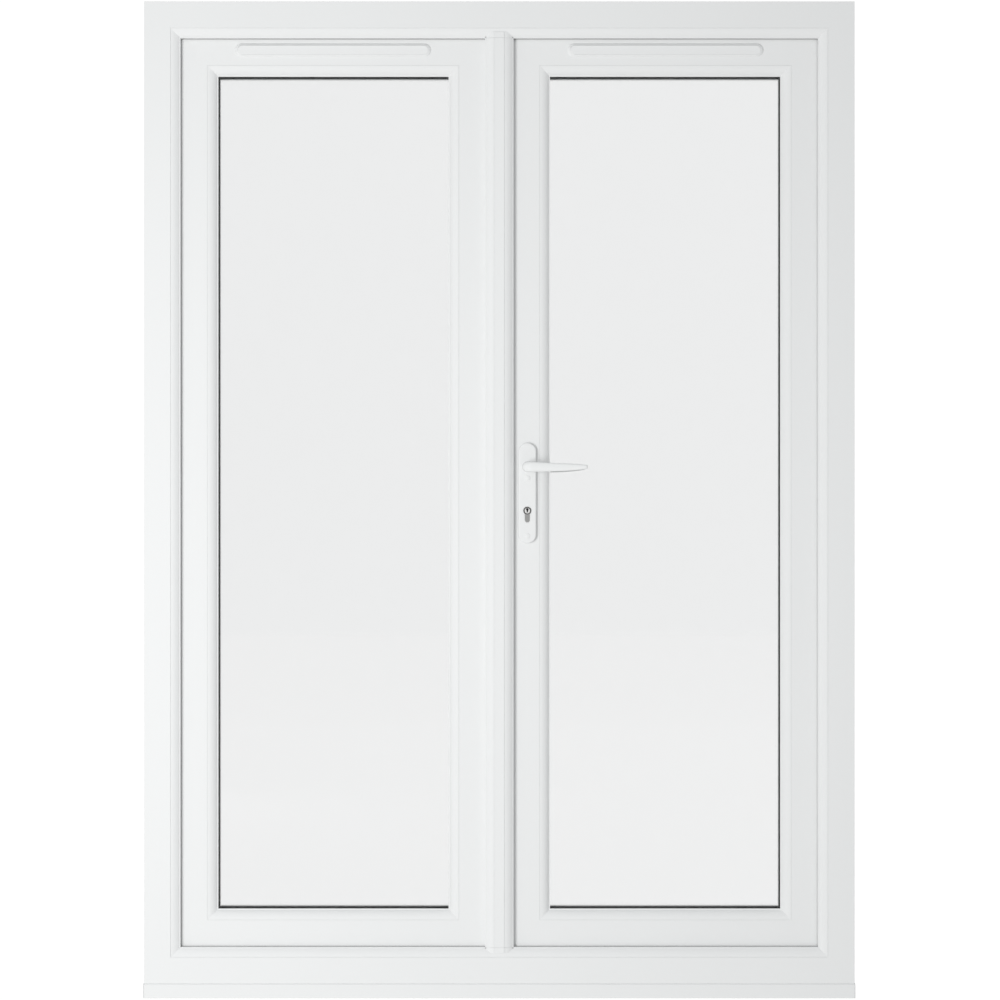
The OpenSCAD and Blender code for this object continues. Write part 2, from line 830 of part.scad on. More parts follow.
module leaf_hinge_plates() {
    for (z = hinge_zs) hinge_leaf_plate(z);
}

// ---------------------------------------------------------------- vents

module on_vent(y) {
    translate([vent_x, y, vent_z]) rotate([90, 0, 0]) children();
}

module vent_base() {
    color(white) on_vent(leaf_y0) linear_extrude(height = vent_proud) difference() {
        oval(vent_len + 13, vent_h + 9);
        oval(vent_len + 1, vent_h + 1);
    }
}

module vent_flap() {
    color(white) on_vent(leaf_y0 - vent_proud + flap_t)
        linear_extrude(height = flap_t) oval(vent_len, vent_h);
}

// A canopy on the outside, open underneath.
module vent_hood() {
    half = vent_len / 2 + 6;
    proud = 16;
    up = 17;
    color(white) difference() {
        translate([vent_x - half, 0, 0]) rotate([90, 0, 90]) linear_extrude(height = 2 * half)
            polygon([[leaf_y1, vent_z - up], [leaf_y1 + proud, vent_z - up],
                [leaf_y1 + proud, vent_z + 4], [leaf_y1 + 4, vent_z + up], [leaf_y1, vent_z + up]]);
        span([vent_x - half + 2, leaf_y1 - eps, vent_z - up - eps],
            [vent_x + half - 2, leaf_y1 + proud - 2, vent_z + 3]);
        span([vent_x - half + 2, leaf_y1 - eps, vent_z],
            [vent_x + half - 2, leaf_y1 + 5, vent_z + up - 3]);
    }
}

// ---------------------------------------------------------------- both leaves

module master_hinge_stile() { hinge_stile(); }
module slave_hinge_stile() { slave() hinge_stile(); }
module master_top_rail() { top_rail(); }
module slave_top_rail() { slave() top_rail(); }
module master_bottom_rail() { bottom_rail(); }
module slave_bottom_rail() { slave() bottom_rail(); }
module master_beads() { color(white) leaf_beads(); }
module slave_beads() { color(white) slave() leaf_beads(); }
module master_panes() { color(glass) leaf_panes(); }
module slave_panes() { color(glass) slave() leaf_panes(); }
module master_spacer() { color(rubber) leaf_spacer(); }
module slave_spacer() { color(rubber) slave() leaf_spacer(); }
module master_seals() { color(rubber) leaf_seals(); }
module master_packers() { leaf_packers(); }
module slave_packers() { slave() leaf_packers(); }
module master_hinge_plates() { color(white) leaf_hinge_plates(); }
module slave_hinge_plates() { color(white) slave() leaf_hinge_plates(); }
module master_vent_base() { vent_base(); }
module slave_vent_base() { slave() vent_base(); }
module master_vent_flap() { vent_flap(); }
module slave_vent_flap() { slave() vent_flap(); }
module master_vent_hood() { vent_hood(); }
module slave_vent_hood() { slave() vent_hood(); }

module slave_meeting_stile() {
    color(white) slave() leaf_side("left") leaf_section();
}

module slave_steel() {
    color(zinc) slave() difference() {
        leaf_steel();
        vent_slots_cut(1);
    }
}

// The slave's own seals, and the seal behind the free side of the mullion.
module slave_seals() {
    x1 = mullion_w / 2 - 2;
    color(rubber) {
        slave() leaf_seals();
        span([x1 - seal_w, frame_y0 + flange_t, mullion_z0],
            [x1, frame_y0 + flange_t + seal_t, mullion_z1]);
    }
}

module master_lock_stile() {
    color(white) difference() {
        leaf_side("left") leaf_section();
        handle_holes();
        lock_pocket(0.5);
    }
}

module master_steel() {
    color(zinc) difference() {
        leaf_steel();
        vent_slots_cut(1);
        handle_holes();
        lock_pocket(2);
    }
}

// ---------------------------------------------------------------- lock and handles

module lock_faceplate() {
    color(steel) difference() {
        span([face_x, hw_y - faceplate_w / 2, rail_z0 - 20],
            [face_x + faceplate_t, hw_y + faceplate_w / 2, rail_z1 + 20]);
        for (b = [[dead_z, dead_h], [latch_z, latch_h]])
            span([face_x - eps, hw_y - bolt_w / 2 - slide_gap, b[0] - b[1] / 2 - slide_gap],
                [face_x + faceplate_t + eps, hw_y + bolt_w / 2 + slide_gap,
                    b[0] + b[1] / 2 + slide_gap]);
        for (z = roller_zs)
            span([face_x - eps, hw_y - 3.4, z - rail_travel - 4],
                [face_x + faceplate_t + eps, hw_y + 3.4, z + rail_travel + 4]);
    }
}

// The bar behind the faceplate that carries the rollers up and down.
module drive_rail() {
    shank_r = 3;
    head_gap = 0.6;
    color(steel) {
        difference() {
            span([rail_x0, hw_y - rail_w / 2, rail_z0], [rail_x0 + rail_t, hw_y + rail_w / 2, rail_z1]);
            for (b = [[dead_z, dead_h], [latch_z, latch_h]])
                span([rail_x0 - eps, hw_y - bolt_w / 2 - slide_gap, b[0] - b[1] / 2 - rail_travel - 2],
                    [rail_x0 + rail_t + eps, hw_y + bolt_w / 2 + slide_gap,
                        b[0] + b[1] / 2 + rail_travel + 2]);
        }
        for (z = roller_zs) {
            rod_x(hw_y, z, face_x - head_gap - 1, rail_x0 + 1, shank_r);
            rod_x(hw_y, z, roller_x0, face_x - head_gap, roller_r);
        }
    }
}

module lock_case() {
    y0 = hw_y - case_w / 2;
    y1 = hw_y + case_w / 2;
    color(zinc) difference() {
        union() {
            span([case_x0, y0, case_z0], [case_x1, y1, case_z1]);
            for (y = [y0, y1 - case_t])
                span([face_x + faceplate_t, y, case_z0], [case_x0 + 1, y + case_t, case_z1]);
        }
        span([case_x0 + case_t, y0 + case_t, case_z0 + case_t],
            [case_x1 - case_t, y1 - case_t, case_z1 - case_t]);
        for (b = [[dead_z, dead_h], [latch_z, latch_h]])
            span([case_x0 - eps, hw_y - bolt_w / 2 - slide_gap, b[0] - b[1] / 2 - slide_gap],
                [case_x0 + case_t + eps, hw_y + bolt_w / 2 + slide_gap,
                    b[0] + b[1] / 2 + slide_gap]);
        rod_y(spindle_x, lever_z, y0 - eps, y1 + eps, journal_r + run_gap);
        rod_y(spindle_x, screw_zs[1], y0 - eps, y1 + eps, screw_r + 0.5);
        rod_y(spindle_x, key_z, y0 - eps, y1 + eps, cylinder_r + slide_gap);
        span([spindle_x - cylinder_foot_w / 2 - slide_gap, y0 - eps, key_z - cylinder_drop - slide_gap],
            [spindle_x + cylinder_foot_w / 2 + slide_gap, y1 + eps, key_z]);
    }
}

module lock_follower() {
    inner = case_w / 2 - case_t - slide_gap;
    w = spindle_w / 2 + 0.1;
    color(steel) difference() {
        union() {
            rod_y(spindle_x, lever_z, hw_y - inner, hw_y + inner, follower_r);
            rod_y(spindle_x, lever_z, hw_y - case_w / 2, hw_y + case_w / 2, journal_r);
        }
        span([spindle_x - w, hw_y - case_w, lever_z - w], [spindle_x + w, hw_y + case_w, lever_z + w]);
    }
}

module spindle() {
    reach = grip_y - 8;
    w = spindle_w / 2;
    color(steel) span([spindle_x - w, leaf_y0 - reach, lever_z - w],
        [spindle_x + w, leaf_y1 + reach, lever_z + w]);
}

module latch_bolt() {
    color(steel) span([face_x, hw_y - bolt_w / 2, latch_z - latch_h / 2],
        [face_x + latch_len, hw_y + bolt_w / 2, latch_z + latch_h / 2]);
}

module dead_bolt() {
    color(steel) span([face_x, hw_y - bolt_w / 2, dead_z - dead_h / 2],
        [face_x + dead_len, hw_y + bolt_w / 2, dead_z + dead_h / 2]);
}

module cylinder_outline(grow) {
    circle(r = cylinder_r + grow);
    translate([-cylinder_foot_w / 2 - grow, -cylinder_drop + cylinder_foot_w / 2])
        square([cylinder_foot_w + 2 * grow, cylinder_drop - cylinder_foot_w / 2]);
    translate([0, -cylinder_drop + cylinder_foot_w / 2]) circle(r = cylinder_foot_w / 2 + grow);
}

cylinder_y0 = leaf_y0 - plate_t - 1;
cylinder_y1 = leaf_y1 + plate_t + 1;

module cylinder_body() {
    color(nickel) difference() {
        translate([spindle_x, cylinder_y1, key_z]) rotate([90, 0, 0])
            linear_extrude(height = cylinder_y1 - cylinder_y0) cylinder_outline(0);
        rod_y(spindle_x, key_z, cylinder_y0 - eps, cylinder_y1 + eps, plug_r + run_gap);
        span([spindle_x - 10, hw_y - cam_w / 2 - 0.5, key_z - cam_r - 0.6],
            [spindle_x + 10, hw_y + cam_w / 2 + 0.5, key_z + 10]);
    }
}

// The plug that a key turns, with the cam that drives the dead bolt.
module key_barrel() {
    slot_w = 2.4;
    color(nickel) difference() {
        union() {
            rod_y(spindle_x, key_z, cylinder_y0 + 0.5, cylinder_y1 - 0.5, plug_r);
            rod_y(spindle_x, key_z, hw_y - cam_w / 2, hw_y + cam_w / 2, cylinder_r - 0.5);
            span([spindle_x - 3.5, hw_y - cam_w / 2, key_z - cam_r + 0.6],
                [spindle_x + 3.5, hw_y + cam_w / 2, key_z]);
        }
        for (y = [cylinder_y0 - eps, cylinder_y1 - 19.5])
            span([spindle_x - slot_w / 2, y, key_z - 3], [spindle_x + slot_w / 2, y + 20, key_z + 5]);
    }
}

// A handle plate with full round ends and a collar that the lever's neck turns in.
module backplate() {
    collar_r = 12;
    color(white) difference() {
        union() {
            translate([spindle_x, leaf_y0, plate_z]) rotate([90, 0, 0])
                linear_extrude(height = plate_t) rotate(90) oval(plate_len, plate_w);
            rod_y(spindle_x, lever_z, leaf_y0 - plate_t - 2, leaf_y0, collar_r);
        }
        rod_y(spindle_x, lever_z, leaf_y0 - plate_t - 3, leaf_y0 - 2, neck_r + run_gap);
        rod_y(spindle_x, lever_z, leaf_y0 - 3, leaf_y0 + eps, spindle_w * 0.8);
        for (z = screw_zs) rod_y(spindle_x, z, leaf_y0 - plate_t - eps, leaf_y0 + eps, screw_r + 0.3);
        translate([spindle_x, leaf_y0 + eps, key_z]) rotate([90, 0, 0])
            linear_extrude(height = plate_t + 2 * eps) cylinder_outline(slide_gap);
    }
}

module backplate_room() {
    backplate();
}

module backplate_outside() {
    outside() backplate();
}

module handle_screws() {
    color(steel) for (z = screw_zs) {
        rod_y(spindle_x, z, leaf_y0 - plate_t, leaf_y1 + plate_t, screw_r);
        rod_y(spindle_x, z, leaf_y0 - plate_t - 1.5, leaf_y0 - plate_t, 6);
        rod_y(spindle_x, z, leaf_y1 + plate_t, leaf_y1 + plate_t + 1.5, 6);
    }
}

// A lever whose grip tapers to a round tip.
module lever() {
    root = 11.2;
    tip_r = 5;
    tip_x = lever_len - tip_r;
    w = spindle_w / 2 + 0.1;
    color(white) difference() {
        union() {
            rod_y(spindle_x, lever_z, leaf_y0 - grip_y - 2, leaf_y0 - 2.3, neck_r);
            translate([spindle_x, leaf_y0 - grip_y, lever_z]) rotate([90, 0, 0])
                linear_extrude(height = grip_t) {
                    circle(r = root);
                    polygon([[0, root], [tip_x, tip_r], [tip_x, -tip_r], [0, -root]]);
                    translate([tip_x, 0]) circle(r = tip_r);
                }
        }
        span([spindle_x - w, leaf_y0 - grip_y + 7.7, lever_z - w],
            [spindle_x + w, leaf_y0, lever_z + w]);
    }
}

module lever_room() {
    lever();
}

module lever_outside() {
    outside() lever();
}

// ---------------------------------------------------------------- assembly
frame_jamb_left();
frame_jamb_right();
frame_head();
frame_threshold();
frame_steel();
frame_seal();
cill();
cill_end_caps();
mullion_end_blocks();
hinge_frame_plates();
hinge_pins();
shootbolt_keeps();
master_hinge_stile();
master_lock_stile();
master_top_rail();
master_bottom_rail();
master_steel();
master_beads();
master_panes();
master_spacer();
master_seals();
master_packers();
master_hinge_plates();
master_vent_base();
master_vent_flap();
master_vent_hood();
slave_hinge_stile();
slave_meeting_stile();
slave_top_rail();
slave_bottom_rail();
slave_steel();
slave_beads();
slave_panes();
slave_spacer();
slave_seals();
slave_packers();
slave_hinge_plates();
slave_vent_base();
slave_vent_flap();
slave_vent_hood();
mullion();
mullion_end_caps();
mullion_keeps();
shootbolt_top();
shootbolt_bottom();
backplate_room();
backplate_outside();
handle_screws();
lock_faceplate();
lock_case();
lock_follower();
spindle();
lever_room();
lever_outside();
drive_rail();
latch_bolt();
dead_bolt();
cylinder_body();
key_barrel();
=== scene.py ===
"""White plastic french doors in their frame: finish, mouldings, glazing, hinges, lock and levers.

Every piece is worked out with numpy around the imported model, in metres. X runs along the width,
Y from the room to the outside, Z up.
"""
import json
import math

import bmesh
import bpy
import numpy as np
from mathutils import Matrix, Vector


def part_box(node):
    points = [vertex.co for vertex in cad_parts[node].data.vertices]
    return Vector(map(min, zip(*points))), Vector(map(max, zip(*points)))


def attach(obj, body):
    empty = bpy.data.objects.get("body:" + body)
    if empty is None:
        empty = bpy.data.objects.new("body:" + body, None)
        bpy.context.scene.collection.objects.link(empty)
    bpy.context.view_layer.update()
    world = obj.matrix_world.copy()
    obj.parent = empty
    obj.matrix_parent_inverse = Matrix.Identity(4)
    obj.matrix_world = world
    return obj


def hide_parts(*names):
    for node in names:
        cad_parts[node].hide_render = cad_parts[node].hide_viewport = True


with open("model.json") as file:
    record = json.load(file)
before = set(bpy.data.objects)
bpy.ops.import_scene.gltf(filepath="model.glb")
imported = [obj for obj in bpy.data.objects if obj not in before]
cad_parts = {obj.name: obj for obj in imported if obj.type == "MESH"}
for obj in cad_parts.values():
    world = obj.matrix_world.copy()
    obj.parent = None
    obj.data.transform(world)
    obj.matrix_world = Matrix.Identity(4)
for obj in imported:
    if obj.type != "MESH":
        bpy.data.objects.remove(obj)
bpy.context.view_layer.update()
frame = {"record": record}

MM = 0.001

# ------------------------------------------------------------------ studio and camera
# A level camera on the middle of the doors, five metres off, with a long lens. The doors stand
# on a pale floor that sweeps up into the backdrop, under a soft light from the left.
scene = bpy.context.scene
scene.view_settings.view_transform = "Standard"
jamb_low, jamb_high = map(np.array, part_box("frame_jamb_left"))
middle_z = jamb_high[2] / 2
sight_distance = 5.2
view_width = 2.0967  # metres seen from side to side at the room face
sensor = 36.0
aside, below = 0.0015, 0.0005  # the eye is this far off the middle of the doors

camera_data = bpy.data.cameras.new("camera")
camera_data.lens = sensor * sight_distance / view_width
camera_data.sensor_width = sensor
camera = bpy.data.objects.new("camera", camera_data)
camera.location = (aside, jamb_low[1] - sight_distance, middle_z - below)
camera.rotation_euler = (math.radians(90), 0, 0)
scene.collection.objects.link(camera)
scene.camera = camera


def sweep_mesh(name, width, front, back, height, radius):
    """A floor that turns up into a wall: a flat run, a quarter circle and an upright run."""
    angle = np.linspace(0, math.pi / 2, 24)
    y = np.concatenate([[front], back - radius + radius * np.sin(angle), [back]])
    z = np.concatenate([[0], radius - radius * np.cos(angle), [height]])
    path = np.stack([y, z], axis=1)
    verts = np.concatenate([np.column_stack([np.full(len(path), x), path])
                            for x in (-width / 2, width / 2)])
    i = np.arange(len(path) - 1)
    faces = np.stack([i, i + 1, i + 1 + len(path), i + len(path)], axis=1)[:, ::-1]
    mesh = bpy.data.meshes.new(name)
    mesh.from_pydata(verts.tolist(), [], faces.tolist())
    mesh.polygons.foreach_set("use_smooth", np.ones(len(faces), bool))
    return bpy.data.objects.new(name, mesh)


def seen_directly(nodes, links, glow, extra):
    """A strength of glow, plus extra where the eye meets it straight or through glass."""
    path = nodes.new("ShaderNodeLightPath")
    seen = nodes.new("ShaderNodeMath")
    links.new(path.outputs["Is Camera Ray"], seen.inputs[0])
    links.new(path.outputs["Is Transmission Ray"], seen.inputs[1])
    strength = nodes.new("ShaderNodeMath")
    strength.operation = "MULTIPLY_ADD"
    links.new(seen.outputs["Value"], strength.inputs[0])
    strength.inputs[1].default_value = extra
    strength.inputs[2].default_value = glow
    return strength.outputs["Value"]


pale = bpy.data.materials.new("pale_floor")
pale.use_nodes = True
shader = pale.node_tree.nodes["Principled BSDF"]
shader.inputs["Base Color"].default_value = (0.06, 0.06, 0.06, 1)
shader.inputs["Roughness"].default_value = 0.9
shader.inputs["Specular IOR Level"].default_value = 0.1
shader.inputs["Emission Color"].default_value = (1, 1, 1, 1)
strength = seen_directly(pale.node_tree.nodes, pale.node_tree.links, glow=0.565, extra=0.435)
pale.node_tree.links.new(strength, shader.inputs["Emission Strength"])
floor = sweep_mesh("floor", width=40.0, front=-14.0, back=9.0, height=12.0, radius=3.0)
floor.data.materials.append(pale)
scene.collection.objects.link(floor)

world = bpy.data.worlds.new("room_light")
world.use_nodes = True
air = world.node_tree.nodes["Background"]
air.inputs["Color"].default_value = (0.97, 0.99, 1.0, 1)
strength = seen_directly(world.node_tree.nodes, world.node_tree.links, glow=0.515, extra=0.485)
world.node_tree.links.new(strength, air.inputs["Strength"])
scene.world = world


def soft_light(name, place, target, size, power):
    """A flat light of a width and height, at place, that faces target, and is never seen."""
    data = bpy.data.lights.new(name, "AREA")
    data.shape = "RECTANGLE"
    data.size, data.size_y = size
    data.energy = power
    lamp = bpy.data.objects.new(name, data)
    lamp.location = place
    aim = np.array(target, float) - np.array(place, float)
    aim /= np.linalg.norm(aim)
    lamp.rotation_euler = (math.acos(-aim[2]), 0, math.atan2(aim[0], -aim[1]) + math.pi)
    lamp.visible_camera = False
    lamp.visible_glossy = False
    lamp.visible_transmission = False
    scene.collection.objects.link(lamp)


soft_light("key_left", (-1.6, -3.4, 0.8), target=(-0.1, 0, 0.9), size=(1.2, 1.5), power=67)
soft_light("back_fill", (2.5, 5.5, 3.6), target=(0, 0, 1.0), size=(3.0, 3.0), power=45)


# ------------------------------------------------------------------ white plastic
# The bars, beads, mullion, cill and vents are extruded hard plastic, white all through, with a
# satin skin. The skin has a faint ripple from the die and slight differences in gloss.
def mottle_group():
    """Two sizes of noise: a slow one for shade and gloss, a fine one for the height of the skin."""
    group = bpy.data.node_groups.new("skin_mottle", "ShaderNodeTree")
    for name, value in (("Slow Scale", 3.0), ("Fine Scale", 900.0), ("Stretch", 1.0)):
        socket = group.interface.new_socket(name, in_out="INPUT", socket_type="NodeSocketFloat")
        socket.default_value = value
    for name in ("Slow", "Fine"):
        group.interface.new_socket(name, in_out="OUTPUT", socket_type="NodeSocketFloat")
    nodes, links = group.nodes, group.links
    source = nodes.new("NodeGroupInput")
    sink = nodes.new("NodeGroupOutput")
    place = nodes.new("ShaderNodeTexCoord")
    stretch = nodes.new("ShaderNodeCombineXYZ")
    for axis in "XY":
        stretch.inputs[axis].default_value = 1.0
    links.new(source.outputs["Stretch"], stretch.inputs["Z"])
    scaled = nodes.new("ShaderNodeVectorMath")
    scaled.operation = "MULTIPLY"
    links.new(place.outputs["Object"], scaled.inputs[0])
    links.new(stretch.outputs["Vector"], scaled.inputs[1])
    for name, detail in (("Slow", 3.0), ("Fine", 2.0)):
        noise = nodes.new("ShaderNodeTexNoise")
        noise.inputs["Detail"].default_value = detail
        links.new(scaled.outputs["Vector"], noise.inputs["Vector"])
        links.new(source.outputs[name + " Scale"], noise.inputs["Scale"])
        links.new(noise.outputs["Fac"], sink.inputs[name])
    return group


skin_mottle = mottle_group()


def finish(name, dark, light, gloss, bump, scales, metallic=0.0, specular=0.5, coat=0.0):
    """A material whose colour and roughness drift between two values, with a fine bump.

    gloss is the least and greatest roughness, bump its strength and distance, and scales are the
    slow noise, the fine noise and their stretch along Z."""
    material = bpy.data.materials.new(name)
    material.use_nodes = True
    nodes, links = material.node_tree.nodes, material.node_tree.links
    shader = nodes["Principled BSDF"]
    shader.inputs["Metallic"].default_value = metallic
    shader.inputs["Specular IOR Level"].default_value = specular
    shader.inputs["Coat Weight"].default_value = coat
    shader.inputs["Coat Roughness"].default_value = 0.12
    mottle = nodes.new("ShaderNodeGroup")
    mottle.node_tree = skin_mottle
    mottle.inputs["Slow Scale"].default_value = scales[0]
    mottle.inputs["Fine Scale"].default_value = scales[1]
    mottle.inputs["Stretch"].default_value = scales[2]
    colour = nodes.new("ShaderNodeMix")
    colour.data_type = "RGBA"
    colour.inputs["A"].default_value = (*dark, 1)
    colour.inputs["B"].default_value = (*light, 1)
    links.new(mottle.outputs["Slow"], colour.inputs["Factor"])
    links.new(colour.outputs["Result"], shader.inputs["Base Color"])
    rough = nodes.new("ShaderNodeMapRange")
    rough.inputs["From Min"].default_value = 0.3
    rough.inputs["From Max"].default_value = 0.7
    rough.inputs["To Min"].default_value = gloss[0]
    rough.inputs["To Max"].default_value = gloss[1]
    links.new(mottle.outputs["Slow"], rough.inputs["Value"])
    links.new(rough.outputs["Result"], shader.inputs["Roughness"])
    raised = nodes.new("ShaderNodeBump")
    raised.inputs["Strength"].default_value = bump[0]
    raised.inputs["Distance"].default_value = bump[1]
    links.new(mottle.outputs["Fine"], raised.inputs["Height"])
    links.new(raised.outputs["Normal"], shader.inputs["Normal"])
    return material


white_plastic = finish("white_plastic", (0.862, 0.869, 0.867), (0.880, 0.887, 0.884),
                       (0.38, 0.48), (0.10, 0.0002), (2.6, 420.0, 0.25), specular=0.4, coat=0.04)


def paint(material, *names):
    """Gives CAD nodes that stay as they are a material in every slot."""
    for name in names:
        mesh = bpy.data.objects[name].data
        if not mesh.materials:
            mesh.materials.append(material)
        for i in range(len(mesh.materials)):
            mesh.materials[i] = material


# ------------------------------------------------------------------ frame bars
# Four hollow plastic bars round the opening, cut at 45 degrees and welded at the corners, where
# the cleaned weld leaves a fine groove. The room side edge is stepped and gently curved.
def rounded(points, radii, steps=4):
    """A closed outline whose corners are arcs: each arc touches both edges at the same distance."""
    points = np.asarray(points, float)
    out = []
    for before, corner, after, radius in zip(
            np.roll(points, 1, 0), points, np.roll(points, -1, 0), radii):
        if radius == 0:
            out.append(corner[None])
            continue
        a = (before - corner) / np.linalg.norm(before - corner)
        b = (after - corner) / np.linalg.norm(after - corner)
        half = math.acos(np.clip(a @ b, -1, 1)) / 2
        centre = corner + (a + b) / np.linalg.norm(a + b) * radius / math.sin(half)
        start = corner + a * radius / math.tan(half) - centre
        stop = corner + b * radius / math.tan(half) - centre
        t = np.linspace(0, 1, steps + 1)[:, None]
        turn = math.acos(np.clip(start @ stop / radius ** 2, -1, 1))
        arc = (np.sin((1 - t) * turn) * start + np.sin(t * turn) * stop) / math.sin(turn)
        out.append(centre + arc)
    return np.concatenate(out)


def moulding(flat_u, first, last, width, step, count=22):
    """The convex curve of an edge: an arc whose slope grows from first to last degrees."""
    angle = np.radians(np.linspace(first, last, count))
    radius = width / (math.sin(angle[-1]) - math.sin(angle[0]))
    u = flat_u + radius * (np.sin(angle) - math.sin(angle[0]))
    v = step + radius * (math.cos(angle[0]) - np.cos(angle))
    return np.stack([u, v], axis=1)


def shade(mesh, smooth=30):
    """Smooth shading all over, with sharp edges above an angle in degrees."""
    mesh.polygons.foreach_set("use_smooth", np.ones(len(mesh.polygons), bool))
    mesh.set_sharp_from_angle(angle=math.radians(smooth))


def even_shading(piece):
    """Weights each corner's normal by face area, so that flats stay flat beside round edges."""
    weighted = piece.modifiers.new("even_shading", "WEIGHTED_NORMAL")
    weighted.mode = "FACE_AREA"
    weighted.keep_sharp = True


def solid(name, verts, faces, material, smooth=30):
    """A mesh object of the given points and faces, turned outwards, smooth up to an angle."""
    mesh = bpy.data.meshes.new(name)
    mesh.from_pydata(np.asarray(verts).tolist(), [], [list(f) for f in faces])
    mesh.update()
    mesh.calc_loop_triangles()
    tri = np.empty(len(mesh.loop_triangles) * 3, int)
    mesh.loop_triangles.foreach_get("vertices", tri)
    a, b, c = np.asarray(verts)[tri.reshape(-1, 3)].transpose(1, 0, 2)
    if np.einsum("ij,ij->", a, np.cross(b, c)) < 0:
        mesh.flip_normals()
    shade(mesh, smooth)
    mesh.materials.append(material)
    piece = bpy.data.objects.new(name, mesh)
    scene.collection.objects.link(piece)
    even_shading(piece)
    return piece


def lofted(name, stations, material, smooth=30):
    """A closed skin through outlines of equal length, with a flat face on the first and last."""
    stations = np.asarray(stations)
    rows, n = stations.shape[:2]
    i = np.arange(n)
    ring = np.stack([i, (i + 1) % n, (i + 1) % n + n, i + n], axis=1)
    sides = (ring[None] + (np.arange(rows - 1) * n)[:, None, None]).reshape(-1, 4)
    faces = sides.tolist() + [i[::-1].tolist(), (i + (rows - 1) * n).tolist()]
    return solid(name, stations.reshape(-1, 3), faces, material, smooth)


def mitred_bar(name, side, corner, opposite, y0, outline, material, groove=0.15 * MM):
    """An outline in u and v carried along one side of a rectangle and cut at 45 degrees.

    u runs inwards from the rectangle's edge and v in depth; at each end the outline sinks by the
    depth of the weld groove, and by less of it on the flat face, where the weld is cleaned off."""
    u, v = outline.T
    middle = (v.min() + v.max()) / 2
    cleaned_depth, left_over = 2 * MM, 0.25
    slope = np.clip((v - v.min()) / cleaned_depth, left_over, 1)
    sunk = v + np.sign(middle - v) * groove * slope
    width, height = opposite[0] - corner[0], opposite[1] - corner[1]
    length = height if side in ("left", "right") else width
    flare = 2 * groove
    stations = []
    for along, depth in ((u, sunk), (u + flare, v), (length - u - flare, v), (length - u, sunk)):
        if side == "left":
            x, z = corner[0] + u, corner[1] + along
        elif side == "right":
            x, z = opposite[0] - u, corner[1] + along
        elif side == "bottom":
            x, z = corner[0] + along, corner[1] + u
        else:
            x, z = corner[0] + along, opposite[1] - u
        stations.append(np.stack([x, y0 + depth, z], axis=1))
    return lofted(name, stations, material)


def rod(start, axis, length, radius, count=40):
    """Stations of a plain round bar from start along an axis (0, 1 or 2)."""
    angle = np.linspace(0, 2 * math.pi, count, endpoint=False)
    ring = np.zeros((2, count, 3))
    ring[..., (axis + 1) % 3] = radius * np.cos(angle)
    ring[..., (axis + 2) % 3] = radius * np.sin(angle)
    ring[1, :, axis] = length
    return ring + np.asarray(start)


def cut(piece, *tools):
    """Takes the tools out of the piece for good, clears slivers and marks the sharp edges again."""
    near, sliver = 2e-6, 4e-6
    for tool in tools:
        change = piece.modifiers.new("cut", "BOOLEAN")
        change.operation = "DIFFERENCE"
        change.solver = "EXACT"
        change.object = tool
    graph = bpy.context.evaluated_depsgraph_get()
    graph.update()
    mesh = bpy.data.meshes.new_from_object(piece.evaluated_get(graph))
    clean = bmesh.new()
    clean.from_mesh(mesh)
    bmesh.ops.remove_doubles(clean, verts=clean.verts, dist=near)
    bmesh.ops.dissolve_degenerate(clean, edges=clean.edges, dist=sliver)
    clean.to_mesh(mesh)
    clean.free()
    piece.modifiers.clear()
    old = piece.data
    piece.data = mesh
    mesh.name = piece.name
    bpy.data.meshes.remove(old)
    for tool in tools:
        bpy.data.objects.remove(tool)
    shade(mesh)
    even_shading(piece)


frame_face, frame_depth = (jamb_high - jamb_low)[:2]
seal_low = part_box("frame_seal")[0]
flange_t = seal_low[1] - jamb_low[1]
body_w = 54 * MM
step, curve_w, lip_w = 1.1 * MM, 17 * MM, 2.5 * MM


def sculpted(flat_u):
    """A fine groove and a curve from the end of the flat, and the depth of the lip behind."""
    quirk_w, quirk_d = 0.4 * MM, 0.5 * MM
    arc = moulding(flat_u + quirk_w, 6, 45, curve_w - quirk_w, step)
    quirk = [(flat_u, step + quirk_d), (flat_u + quirk_w, step + quirk_d)]
    return np.concatenate([quirk, arc]), arc[-1, 1] + 0.5 * MM


def frame_outline():
    """The frame's flat face, its curved edge, the flange behind that and the square body."""
    flat = frame_face - curve_w - lip_w
    arc, lip = sculpted(flat)
    corners = [(0, 0), (flat, 0)]
    back = [(arc[-1, 0], lip), (frame_face, lip), (frame_face, flange_t), (body_w, flange_t),
            (body_w, frame_depth), (0, frame_depth)]
    points = np.concatenate([corners, arc, back])
    radii = np.zeros(len(points))
    radii[[0, 1]] = 0.8 * MM, 0.35 * MM
    radii[-5:] = 0.7 * MM, 0.5 * MM, 1.0 * MM, 0.8 * MM, 0.8 * MM
    return rounded(points, radii)


outline = frame_outline()
frame_low = (jamb_low[0], jamb_low[2])
frame_high = (-jamb_low[0], jamb_high[2])
frame_bars = {}
for side, node in (("left", "frame_jamb_left"), ("right", "frame_jamb_right"),
                   ("top", "frame_head"), ("bottom", "frame_threshold")):
    bar = mitred_bar(node + "_moulded", side, frame_low, frame_high, jamb_low[1], outline,
                     white_plastic)
    frame_bars[side] = bar
    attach(bar, "frame")
    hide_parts(node)

